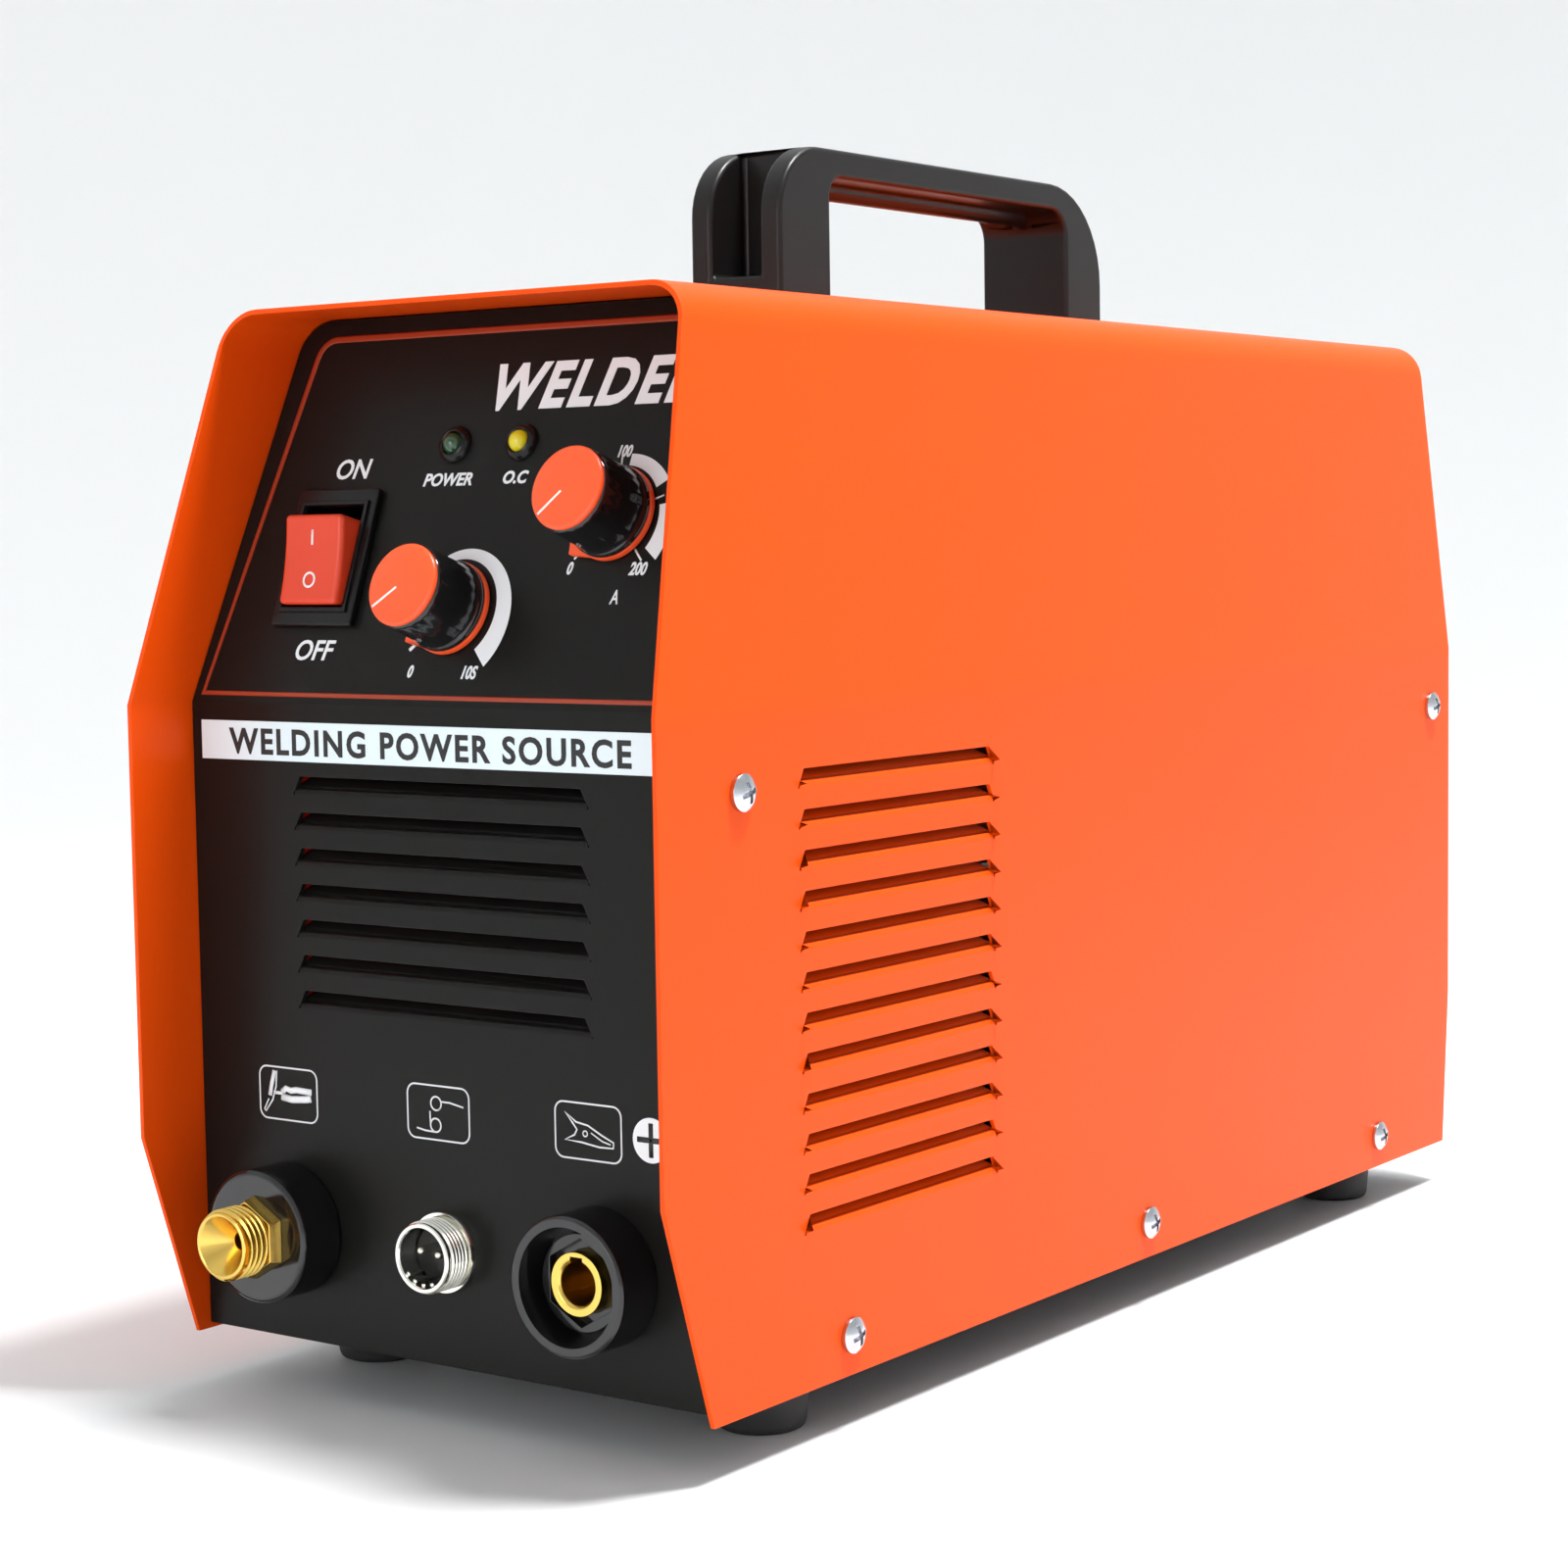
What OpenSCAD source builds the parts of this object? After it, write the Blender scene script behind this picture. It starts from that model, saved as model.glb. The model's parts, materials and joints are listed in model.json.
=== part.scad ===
// Portable inverter TIG welder: a folded sheet cover over a tray, with its
// front and rear panels, carrying handle, controls, outlets, fan and inner parts.
// X runs across the machine, Y from the front to the back, Z up from the floor.

/* [Case] */
// Width over the cover
case_w = 150; // [148:1:152]
// Length of the cover along its sides
case_l = 377; // [370:1:384]
// Height of the cover from its lower edge to its top
cover_h = 233.5; // [231:0.5:236]
// Gap between the cover's lower edge and the floor
foot_gap = 12; // [11:0.5:13]
// Thickness of the cover's sheet
sheet_t = 1.2; // [1:0.1:1.5]
// Outside radius of the bends along the top
top_bend_r = 10; // [8:0.5:12]
// Height of the soft bend where the sides start to lean in
hip_h = 145.5; // [143:0.5:148]
// How far each side leans in between that bend and the top
side_lean = 9.7; // [8:0.1:11]
// How far the cover's front edge leans back towards the top
brow_lean = 24.8; // [22:0.2:27]
// How far the cover's front edge runs back towards the bottom
chin_lean = 15.3; // [13:0.1:17]
// Height of the lower corner in the cover's front edge
chin_h = 47.6; // [45:0.2:50]

/* [Panels] */
// Depth of the front panel inside the cover
recess = 18.5; // [17:0.5:20]
// Angle of the control face from upright
face_angle = 19.8; // [18:0.2:21]
// Thickness of the panels' sheet
panel_t = 1.5; // [1.2:0.1:2]

/* [Louvres] */
// Distance from one side louvre to the next
side_pitch = 8.6; // [8.4:0.1:8.8]
// Number of louvres in each side
side_louvres = 12; // [10:1:12]
// Distance from one front louvre to the next
front_pitch = 8; // [7.8:0.1:8.2]
// Number of louvres in the front panel
front_louvres = 7; // [5:1:7]
// Height of each louvre's mouth
louvre_h = 4.1; // [3.5:0.1:4.2]

/* [Handle] */
// Length of the handle over its legs
handle_l = 152.5; // [148:0.5:156]
// Height of the handle above the cover
handle_h = 41.3; // [38:0.5:44]
// Width of the handle
handle_w = 27; // [25:0.5:28]

/* [Controls] */
// Height of each knob above the control face
knob_h = 17.5; // [16:0.5:19]
// Full turn of each knob
knob_turn = 270; // [260:1:300]
// Angle that the rocker tips through
rocker_swing = 22; // [18:1:24]

/* [Outlets] */
// Diameter of the two round outlet housings
outlet_d = 30; // [28:0.5:31]
// Diameter of the threaded gas and power nozzle
nozzle_d = 16; // [15.5:0.1:16]
// Diameter of the hole in the power socket
socket_hole_d = 9; // [8.5:0.1:9.5]

/* [Hidden] */
$fn = 64;
gap = 0.3;
floor_z = foot_gap + 1.5;
top_z = foot_gap + cover_h;
hip_z = foot_gap + hip_h;
face_z = hip_z + 0.3;
chin_z = foot_gap + chin_h;
rear_y = case_l - 4;
tail_lean = 3.8;
tail_z = foot_gap + 43.7;
lean_angle = atan(side_lean / (cover_h - hip_h));
bend_z = top_z - top_bend_r;
bend_x = case_w / 2 - (bend_z - hip_z) * tan(lean_angle) - top_bend_r / cos(lean_angle);
inner_gap = sheet_t + gap;
flange_d = 14;
flange_t = 1.2;
tray_gap = inner_gap + flange_t + 0.1;
tray_t = 1.2;
far = 400;

// Places on the control face: x and the distance up the face from its lower bend
slope_at = [0, 21.7];
current_at = [39.8, 42.6];
switch_at = [-40, 33.5];
led_x = 9.5;
led_up = 59.7;

// Places of the outlets on the lower front panel, and of the fittings at the back
outlet_z = foot_gap + 27;
outlet_x = -46;
socket_x = 43.5;
socket_out = 12;
nozzle_tip = 22.7;
fan_z = 96;
fan_size = 120;
fan_y = rear_y - panel_t - 25;
gland_at = [-40, 190];
inlet_at = [40, 176];
earth_at = [0, 178];
barb_l = 28;
mid_y = (rear_y + barb_l + recess - nozzle_tip) / 2;

// Screws in each side of the cover, as [y, z]
side_screws = [[27.8, foot_gap + 129.1], [364, foot_gap + 129.1], [64.7, foot_gap + 8.9],
    [195.7, foot_gap + 8.9], [328.5, foot_gap + 8.9]];
foot_spots = [for (x = [-56, 56], y = [57, 338]) [x, y]];
board_z = 30;
board_t = 1.6;
shelf_z = 164;
shelf_t = 1.2;
shelf_y = [74, 345];
shelf_x = 69;
leg_w = 8;
valve_y = 300;

// The gas hose from the valve to the nozzle: over the shelf, down behind the front panel
hose_route = [[40, 276, 176], [40, 266, 176], [46, 246, 175], [57, 222, 172], [60, 195, 171],
    [60, 150, 171], [60, 110, 171], [59, 86, 171], [57, 69, 168], [52, 55, 158], [41, 48, 144],
    [22, 46, 126], [0, 45, 110], [-22, 46, 94], [-38, 48, 81], [-45, 49.5, 71], [-46, 50, 64],
    [-46, 50, 59]];

module place() { translate([0, -mid_y, 0]) children(); }

// Frames: z points out of the face, y up it
module at_face(spot) {
    translate([spot[0], recess, face_z]) rotate([90 - face_angle, 0, 0])
        translate([0, spot[1], 0]) children();
}
module at_front(x, z) { translate([x, recess, z]) rotate([90, 0, 0]) children(); }
module at_rear(x, z) { translate([x, rear_y, z]) rotate([90, 0, 180]) children(); }

// An outline in y and z drawn through the whole width, and one in x and z drawn along y
module across(width) {
    translate([-width / 2, 0, 0]) rotate([90, 0, 90]) linear_extrude(width) children();
}
module along(y0, y1) { translate([0, y1, 0]) rotate([90, 0, 0]) linear_extrude(y1 - y0) children(); }

// Half of the cross-section, set in from the cover's outside by d, then the whole of it
function half_section(d, low) = concat([[case_w / 2 - d, low],
    [case_w / 2 - d, hip_z - d * tan(lean_angle / 2)]],
    [for (i = [0:10]) let (a = lean_angle + (90 - lean_angle) * i / 10)
        [bend_x + (top_bend_r - d) * cos(a), bend_z + (top_bend_r - d) * sin(a)]]);
function mirrored(points) = concat(points,
    [for (i = [len(points) - 1:-1:0]) [-points[i][0], points[i][1]]]);
module section(d, low) { polygon(mirrored(half_section(d, low))); }

module screw(d, length, head_d, head_h) {
    translate([0, 0, -length]) cylinder(d = d, h = length);
    difference() {
        intersection() {
            cylinder(d = head_d, h = head_h);
            translate([0, 0, head_h - head_d * 0.75]) sphere(d = head_d * 1.5);
        }
        for (a = [0, 90]) rotate(a)
            translate([-head_d * 0.29, -head_d * 0.06, head_h * 0.45])
                cube([head_d * 0.58, head_d * 0.12, head_h]);
    }
}
module hex_nut(across_flats, h, hole_d) {
    difference() {
        cylinder(d = across_flats / cos(30), h = h, $fn = 6);
        translate([0, 0, -1]) cylinder(d = hole_d, h = h + 2);
    }
}

module louvre_mouth(y0, y1, z) {
    polygon([[y0, z], [y1, z], [y1 + 2.2, z - louvre_h], [y0 - 2.2, z - louvre_h]]);
}
// A louvre's flap in section: a soft fold out of the sheet, then a slope inwards and up
fold_r = 2.05;
fold_turn = 52;
module louvre_flap(t) {
    polygon(concat([[0, -0.6]],
        [for (i = [0:4]) let (a = fold_turn * i / 4) [fold_r * (cos(a) - 1), fold_r * sin(a)]],
        [[-4, 4.14], [-4.7, 3.27], [-t, 0.5], [-t, -0.6]]));
}
function side_louvre_z(i) = foot_gap + 132.5 - i * side_pitch;
function front_louvre_z(i) = foot_gap + 129.3 - i * front_pitch;

module cover_profile() {
    polygon([[chin_lean, foot_gap], [0, chin_z], [0, hip_z], [brow_lean, top_z],
        [case_l, top_z], [case_l, tail_z], [case_l - tail_lean, foot_gap]]);
}
module cover() color("orangered") place() difference() {
    union() {
        difference() {
            intersection() {
                along(0, case_l) difference() {
                    section(0, foot_gap);
                    section(sheet_t, foot_gap - 1);
                }
                across(case_w + 2) cover_profile();
            }
            for (i = [0:side_louvres - 1])
                across(case_w + 2) louvre_mouth(50, 123, side_louvre_z(i));
        }
        for (i = [0:side_louvres - 1], side = [0, 1]) mirror([side, 0, 0])
            along(48.5, 124.5) translate([case_w / 2, side_louvre_z(i) - louvre_h])
                louvre_flap(sheet_t);
    }
    for (s = side_screws) translate([-far / 2, s[0], s[1]]) rotate([0, 90, 0])
        cylinder(d = 4.6, h = far);
    for (y = handle_screw_y) translate([0, y, top_z - 5]) cylinder(d = 5.5, h = 10);
}

module base_tray() color("dimgray") place() difference() {
    translate([-case_w / 2 + tray_gap, recess + panel_t, floor_z])
        cube([case_w - 2 * tray_gap, rear_y - recess - 2 * panel_t, 22]);
    translate([-case_w / 2 + tray_gap + tray_t, recess + panel_t + tray_t, floor_z + tray_t])
        cube([case_w - 2 * (tray_gap + tray_t), rear_y - recess - 2 * (panel_t + tray_t), 22]);
    for (s = side_screws) translate([-far / 2, s[0], s[1]]) rotate([0, 90, 0])
        cylinder(d = 3.8, h = far);
    for (f = foot_spots) translate([f[0], f[1], 0]) cylinder(d = 4.5, h = 30);
    for (i = [0:5]) translate([-30, 90 + i * 42, 0]) cube([60, 5, 18]);
    for (x = [outlet_x, 0, socket_x]) translate([x, recess, outlet_z]) rotate([-90, 0, 0])
        cylinder(d = 24, h = 10);
}

// The front panel's own line, from its bottom edge to its top, set back by d
function front_line(d, low) = [[recess + d, low], [recess + d, face_z - d * tan(face_angle / 2)],
    [recess + d / cos(face_angle) + (top_z - face_z) * tan(face_angle), top_z]];
module front_band(d0, d1, low) {
    polygon(concat(front_line(d0, low), [for (i = [2:-1:0]) front_line(d1, low)[i]]));
}
module front_panel() color("#2b2b29") place() difference() {
    union() {
        difference() {
            intersection() {
                along(0, far) section(inner_gap, floor_z);
                across(case_w) front_band(0, flange_d, floor_z - 1);
            }
            intersection() {
                along(0, far) section(inner_gap + flange_t, floor_z - 5);
                across(case_w) front_band(panel_t, flange_d * 2, floor_z - 5);
            }
            for (i = [0:front_louvres - 1]) along(recess - 1, recess + panel_t + 1)
                louvre_mouth(-40.2, 40.2, front_louvre_z(i));
        }
        for (i = [0:front_louvres - 1]) across(84)
            translate([recess, front_louvre_z(i) - louvre_h]) mirror([1, 0]) louvre_flap(panel_t);
    }
    at_face(switch_at) translate([-11.1, -15.1, -5]) cube([22.2, 30.2, 10]);
    for (p = [slope_at, current_at]) at_face(p) translate([0, 0, -5]) cylinder(d = 10.4, h = 10);
    for (x = [-led_x, led_x]) at_face([x, led_up]) translate([0, 0, -5]) cylinder(d = 6.6, h = 10);
    at_front(outlet_x, outlet_z) translate([0, 0, -5]) cylinder(d = 20.4, h = 10);
    at_front(0, outlet_z) translate([0, 0, -5]) cylinder(d = 15.4, h = 10);
    at_front(socket_x, outlet_z) translate([0, 0, -5]) cylinder(d = 20.4, h = 10);
    for (s = side_screws) translate([-far / 2, s[0], s[1]]) rotate([0, 90, 0])
        cylinder(d = 3.8, h = far);
}

module rear_panel() color("#2b2b29") place() difference() {
    along(rear_y - flange_d, rear_y) section(inner_gap, floor_z);
    along(rear_y - flange_d * 2, rear_y - panel_t) section(inner_gap + flange_t, floor_z - 5);
    at_rear(0, fan_z) translate([0, 0, -5]) cylinder(d = 112, h = 10);
    for (x = [-1, 1], z = [-1, 1]) at_rear(x * 52.5, fan_z + z * 52.5) translate([0, 0, -5])
        cylinder(d = 4.4, h = 10);
    at_rear(gland_at[0], gland_at[1]) translate([0, 0, -5]) cylinder(d = 20.4, h = 10);
    at_rear(inlet_at[0], inlet_at[1]) translate([0, 0, -5]) cylinder(d = 10.4, h = 10);
    at_rear(earth_at[0], earth_at[1]) translate([0, 0, -5]) cylinder(d = 6.4, h = 10);
    for (s = side_screws) translate([-far / 2, s[0], s[1]]) rotate([0, 90, 0])
        cylinder(d = 3.8, h = far);
}

module shelf() color("silver") place() {
    difference() {
        translate([-shelf_x, shelf_y[0], shelf_z - shelf_t])
            cube([shelf_x * 2, shelf_y[1] - shelf_y[0], shelf_t]);
        for (y = [100:40:300]) translate([-62, y, shelf_z - 5]) cube([8, 20, 10]);
    }
    for (x = [-shelf_x, shelf_x - leg_w], y = [shelf_y[0], shelf_y[1] - shelf_t])
        translate([x, y, floor_z + tray_t])
            cube([leg_w, shelf_t, shelf_z - shelf_t / 2 - floor_z - tray_t]);
}

// Handle: an outline in y and z with round corners, a slot in each leg and a grip bead
handle_y = 130;
handle_screw_y = [handle_y + 11, handle_y + handle_l - 10];
front_r = 17;
rear_r = 26;
function corner(cy, cz, r, a0, a1) = [for (i = [0:10]) let (a = a0 + (a1 - a0) * i / 10)
    [cy + r * cos(a), cz + r * sin(a)]];
module handle_outline() {
    difference() {
        polygon(concat([[0, 0]], corner(front_r, handle_h - front_r, front_r, 180, 90),
            corner(handle_l - rear_r, handle_h - rear_r, rear_r, 90, 0), [[handle_l, 0]]));
        polygon(concat([[21.5, -1]], corner(26.5, handle_h - 12, 5, 180, 90),
            corner(handle_l - 26, handle_h - 14, 7, 90, 0), [[handle_l - 19, -1]]));
    }
}
module handle() color("#1c1c1c") place() translate([0, handle_y, top_z]) difference() {
    union() {
        across(handle_w) handle_outline();
        translate([0, 20, handle_h - 7.5]) rotate([-90, 0, 0])
            cylinder(d = 6, h = handle_l - 38);
    }
    translate([-7.2, -1, 10]) cube([14.4, 15, handle_h]);
    translate([-7.2, handle_l - 14, 10]) cube([14.4, 15, handle_h]);
    for (y = handle_screw_y) translate([0, y - handle_y, -1]) cylinder(d = 4.6, h = 9);
}
module handle_screws() color("silver") place()
    for (y = handle_screw_y) translate([0, y, top_z - sheet_t]) rotate([180, 0, 0])
        screw(4.8, 8.5, 9, 3);

module cover_screws() color("gainsboro") place()
    for (s = side_screws, side = [0, 1]) mirror([side, 0, 0])
        translate([case_w / 2, s[0], s[1]]) rotate([0, 90, 0]) rotate(17) screw(4, 7, 8, 2.6);

module feet() color("#161616") place()
    for (f = foot_spots) translate([f[0], f[1], 0]) difference() {
        rotate_extrude() polygon([[0, 0], [9, 0], [10, 1], [11, floor_z], [0, floor_z]]);
        translate([0, 0, -1]) cylinder(d = 9, h = 8);
        cylinder(d = 4.5, h = 30);
    }
module foot_screws() color("silver") place()
    for (f = foot_spots) translate([f[0], f[1], 7]) rotate([180, 0, 0]) screw(4, 12, 8, 2.6);

// Rocker switch: a bezel and body let into the panel, and the rocker on its trunnions
rocker_depth = 4.2;
module switch_housing() color("#151515") place() at_face(switch_at) difference() {
    union() {
        translate([-12.1, -16.1, 0]) cube([24.2, 32.2, 2]);
        translate([-10.9, -14.9, -20]) cube([21.8, 29.8, 20]);
        for (x = [-6, 6], y = [-8, 8]) translate([x - 3, y - 0.4, -27]) cube([6, 0.8, 8]);
    }
    translate([-9.1, -11.9, -16]) cube([18.2, 23.8, 30]);
    translate([-10, 0, -rocker_depth]) rotate([0, 90, 0]) cylinder(d = 2.1, h = 20);
}
rocker_r = 70;
rocker_h = 11;
module switch_rocker() color("#d8442a") place() at_face(switch_at)
    translate([0, 0, -rocker_depth]) rotate([rocker_swing / 2, 0, 0]) difference() {
        union() {
            translate([-8.8, 0, 0]) rotate([90, 0, 90]) linear_extrude(17.6)
                polygon([[-10.2, rocker_h], [-9.2, 0], [-4, -5.5], [4, -5.5], [9.2, 0],
                    [10.2, rocker_h]]);
            translate([-9.9, 0, 0]) rotate([0, 90, 0]) cylinder(d = 2, h = 19.8);
        }
        translate([-10, 0, rocker_h + rocker_r - 0.8]) rotate([0, 90, 0])
            cylinder(r = rocker_r, h = 20, $fn = 128);
    }

// Potentiometers, their shafts and the knobs
module pot() {
    difference() {
        union() {
            translate([0, 0, -13.5]) cylinder(d = 23, h = 12);
            translate([0, 0, -1.5]) cylinder(d = 10, h = 5.5);
            translate([-7, -17, -12.5]) cube([14, 8, 1.6]);
        }
        translate([0, 0, -11]) cylinder(d = 6.1, h = 20);
    }
}
module knob_shaft() { translate([0, 0, -10.5]) cylinder(d = 6, h = 24); }
module knob_body() {
    difference() {
        rotate_extrude() polygon([[0, 1.9], [10.1, 1.9], [10.1, 3.5], [9.7, knob_h - 1.6],
            [9.4, knob_h - 1], [0, knob_h - 1]]);
        cylinder(d = 16, h = 4.6);
        cylinder(d = 6, h = 13.5);
    }
}
module knob_cap() {
    translate([0, 0, knob_h - 1]) rotate_extrude() polygon([[0, 0], [9.2, 0], [9.2, 0.4],
        [8.7, 1], [0, 1]]);
}
// The pointer ring sits round the knob's foot, with its tip at the start of the scale
current_start = 270 - (360 - knob_turn) / 2;
slope_start = current_start - 8;
module pointer_ring(start) {
    difference() {
        union() {
            translate([0, 0, 0.5]) cylinder(d = 20.8, h = 1.4);
            rotate(start) translate([0, 0, 0.5]) linear_extrude(1.4)
                polygon([[8.6, -5], [14.4, 0], [8.6, 5]]);
        }
        cylinder(d = 16, h = 5, center = true);
    }
}
module current_pot() color("#3a4a3a") place() at_face(current_at) pot();
module slope_pot() color("#3a4a3a") place() at_face(slope_at) pot();
module pot_nuts() color("silver") place()
    for (p = [slope_at, current_at]) at_face(p) hex_nut(13, 2.4, 10);
module current_shaft() color("silver") place() at_face(current_at) knob_shaft();
module slope_shaft() color("silver") place() at_face(slope_at) knob_shaft();
module current_knob() color("#111111") place() at_face(current_at) knob_body();
module slope_knob() color("#111111") place() at_face(slope_at) knob_body();
module current_knob_cap() color("#ff5a36") place() at_face(current_at) knob_cap();
module slope_knob_cap() color("#ff5a36") place() at_face(slope_at) knob_cap();
module current_pointer_ring() color("#e84a20") place() at_face(current_at)
    pointer_ring(current_start);
module slope_pointer_ring() color("#e84a20") place() at_face(slope_at)
    pointer_ring(slope_start);

module led_holders() color("#151515") place()
    for (x = [-led_x, led_x]) at_face([x, led_up]) difference() {
        union() {
            rotate_extrude() polygon([[0, 0], [4.4, 0], [4.3, 0.7], [3.9, 1.4], [3.3, 1.9],
                [2.9, 2], [0, 2]]);
            translate([0, 0, -5]) cylinder(d = 6.4, h = 5);
        }
        translate([0, 0, -8]) cylinder(d = 5.1, h = 20);
    }
module led() {
    translate([0, 0, -4]) cylinder(d = 5.1, h = 4.9);
    translate([0, 0, 0.9]) intersection() {
        sphere(d = 5.1);
        cylinder(d = 6, h = 3);
    }
}
module power_led() color("#2f5f3a") place() at_face([-led_x, led_up]) led();
module overload_led() color("#e6d22a") place() at_face([led_x, led_up]) led();

// Gas and power outlet: a black housing, and a brass nozzle with a coned mouth
module outlet_housing() color("#101010") place() at_front(outlet_x, outlet_z) difference() {
    union() {
        rotate_extrude() polygon([[0, 0], [outlet_d / 2, 0], [outlet_d / 2, socket_out - 0.5],
            [outlet_d / 2 - 0.6, socket_out], [0, socket_out]]);
        translate([0, 0, -12]) cylinder(d = 20, h = 12);
    }
    translate([0, 0, -20]) cylinder(d = 12, h = 50);
}
module gas_nozzle() color("#d9b23c") place() at_front(outlet_x, outlet_z) difference() {
    union() {
        translate([0, 0, socket_out]) rotate(30) cylinder(d = 16.6 / cos(30), h = 3.2, $fn = 6);
        translate([0, 0, socket_out + 3.2])
            cylinder(d = nozzle_d, h = nozzle_tip - socket_out - 3.2 - 0.8);
        translate([0, 0, nozzle_tip - 0.8]) cylinder(d1 = nozzle_d, d2 = nozzle_d - 1.6, h = 0.8);
        translate([0, 0, -36]) cylinder(d = 12, h = 36 + socket_out);
        translate([0, 0, -31.5]) rotate([-90, 0, 0]) cylinder(d = 8, h = 20);
    }
    translate([0, 0, nozzle_tip - 6]) cylinder(d1 = 3.4, d2 = 13.4, h = 6.01);
    translate([0, 0, -33]) cylinder(d = 3.4, h = 60);
    translate([0, 0, -31.5]) rotate([-90, 0, 0]) cylinder(d = 4, h = 21);
}

// Control socket: plated shell, black insert, two pins and the nut behind the panel
module control_socket_shell() color("#d8d8d2") place() at_front(0, outlet_z) difference() {
    union() {
        cylinder(d = 18, h = 1.6);
        cylinder(d = 16, h = 7.6);
        translate([0, 0, 7.6]) cylinder(d1 = 16, d2 = 15.2, h = 0.4);
        translate([0, 0, -12]) cylinder(d = 15, h = 12);
    }
    translate([0, 0, -14]) cylinder(d = 13, h = 30);
}
module control_socket_insert() color("#141414") place() at_front(0, outlet_z) difference() {
    translate([0, 0, -12]) cylinder(d = 13, h = 14.5);
    for (x = [-3, 3]) translate([x, 0, -13]) cylinder(d = 1.8, h = 30);
}
module control_socket_pins() color("#e4e0d0") place() at_front(0, outlet_z)
    for (x = [-3, 3]) translate([x, 0, -16]) {
        cylinder(d = 1.8, h = 22);
        translate([0, 0, 22]) sphere(d = 1.8);
    }
module control_socket_nut() color("silver") place() at_front(0, outlet_z)
    translate([0, 0, -panel_t - 2.5]) hex_nut(19, 2.5, 15);

// Power socket: a deep black collar, a boss with a six-sided pocket, a brass insert with a keyway
module power_socket_housing() color("#101010") place() at_front(socket_x, outlet_z) difference() {
    union() {
        rotate_extrude() polygon([[0, 0], [outlet_d / 2, 0], [outlet_d / 2, socket_out - 0.6],
            [outlet_d / 2 - 0.6, socket_out], [12.6, socket_out], [12.4, 3], [10.6, 3],
            [10.4, socket_out - 5], [0, socket_out - 5]]);
        translate([0, 0, -12]) cylinder(d = 20, h = 12);
    }
    translate([0, 0, -20]) cylinder(d = 13.6, h = 50);
    translate([0, 0, 4.5]) rotate(30) cylinder(d = 16.4 / cos(30), h = 10, $fn = 6);
}
module power_socket_insert() color("#d9b23c") place() at_front(socket_x, outlet_z) difference() {
    union() {
        translate([0, 0, -18]) cylinder(d = 13.6, h = 18 + socket_out - 3.5);
        translate([0, 0, -36]) cylinder(d = 10, h = 18.01);
    }
    translate([0, 0, -16]) cylinder(d = socket_hole_d, h = 40);
    translate([0, 0, socket_out - 4.2]) cylinder(d1 = socket_hole_d, d2 = socket_hole_d + 1.4, h = 0.71);
    translate([-1.6, 0, -16]) cube([3.2, 5.6, 40]);
}
module outlet_nuts() color("silver") place() {
    for (x = [outlet_x, socket_x]) at_front(x, outlet_z)
        translate([0, 0, -panel_t - 4.2]) hex_nut(25, 3, 20);
    at_front(outlet_x, outlet_z) translate([0, 0, -24]) hex_nut(18, 5, 12);
    at_front(socket_x, outlet_z) translate([0, 0, -34]) hex_nut(16, 5, 10);
}

// Fan, its guard and screws
module fan_frame() color("#202020") place() translate([0, fan_y, fan_z]) rotate([-90, 0, 0])
    difference() {
        union() {
            difference() {
                translate([-fan_size / 2, -fan_size / 2, 0]) cube([fan_size, fan_size, 25]);
                translate([0, 0, -1]) cylinder(r = 57.5, h = 27);
            }
            cylinder(d = 36, h = 4);
            for (a = [45:90:315]) rotate(a) translate([16, -2, 0]) cube([42, 4, 3]);
            cylinder(d = 8, h = 14);
        }
        for (x = [-52.5, 52.5], y = [-52.5, 52.5]) translate([x, y, -1]) cylinder(d = 4.4, h = 30);
        translate([0, 0, 4.5]) cylinder(d = 3.1, h = 20);
    }
module fan_rotor() color("#2c2c2c") place() translate([0, fan_y, fan_z]) rotate([-90, 0, 0]) {
    difference() {
        translate([0, 0, 5]) cylinder(d = 38, h = 18);
        translate([0, 0, 4]) cylinder(d = 34, h = 17);
    }
    translate([0, 0, 5]) cylinder(d = 3, h = 17);
    for (i = [0:6]) rotate(i * 360 / 7) translate([18, 0, 14]) rotate([38, 0, 0])
        translate([0, -12, -0.9]) cube([36, 24, 1.8]);
}
module fan_guard() color("silver") place() at_rear(0, fan_z) {
    for (r = [14:10:54]) translate([0, 0, 4]) rotate_extrude() translate([r, 0]) circle(d = 1.8, $fn = 24);
    for (a = [45:90:315]) rotate(a) translate([10, -1, 0.9]) cube([60.3, 2, 2.4]);
    for (x = [-52.5, 52.5], y = [-52.5, 52.5]) translate([x, y, 0]) difference() {
        cylinder(d = 9, h = 1.8);
        translate([0, 0, -1]) cylinder(d = 4.4, h = 8);
    }
}
module fan_screws() color("gainsboro") place()
    for (x = [-52.5, 52.5], y = [-52.5, 52.5]) at_rear(x, fan_z + y) translate([0, 0, 3.4])
        screw(4, 31, 7.6, 2.6);

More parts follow.
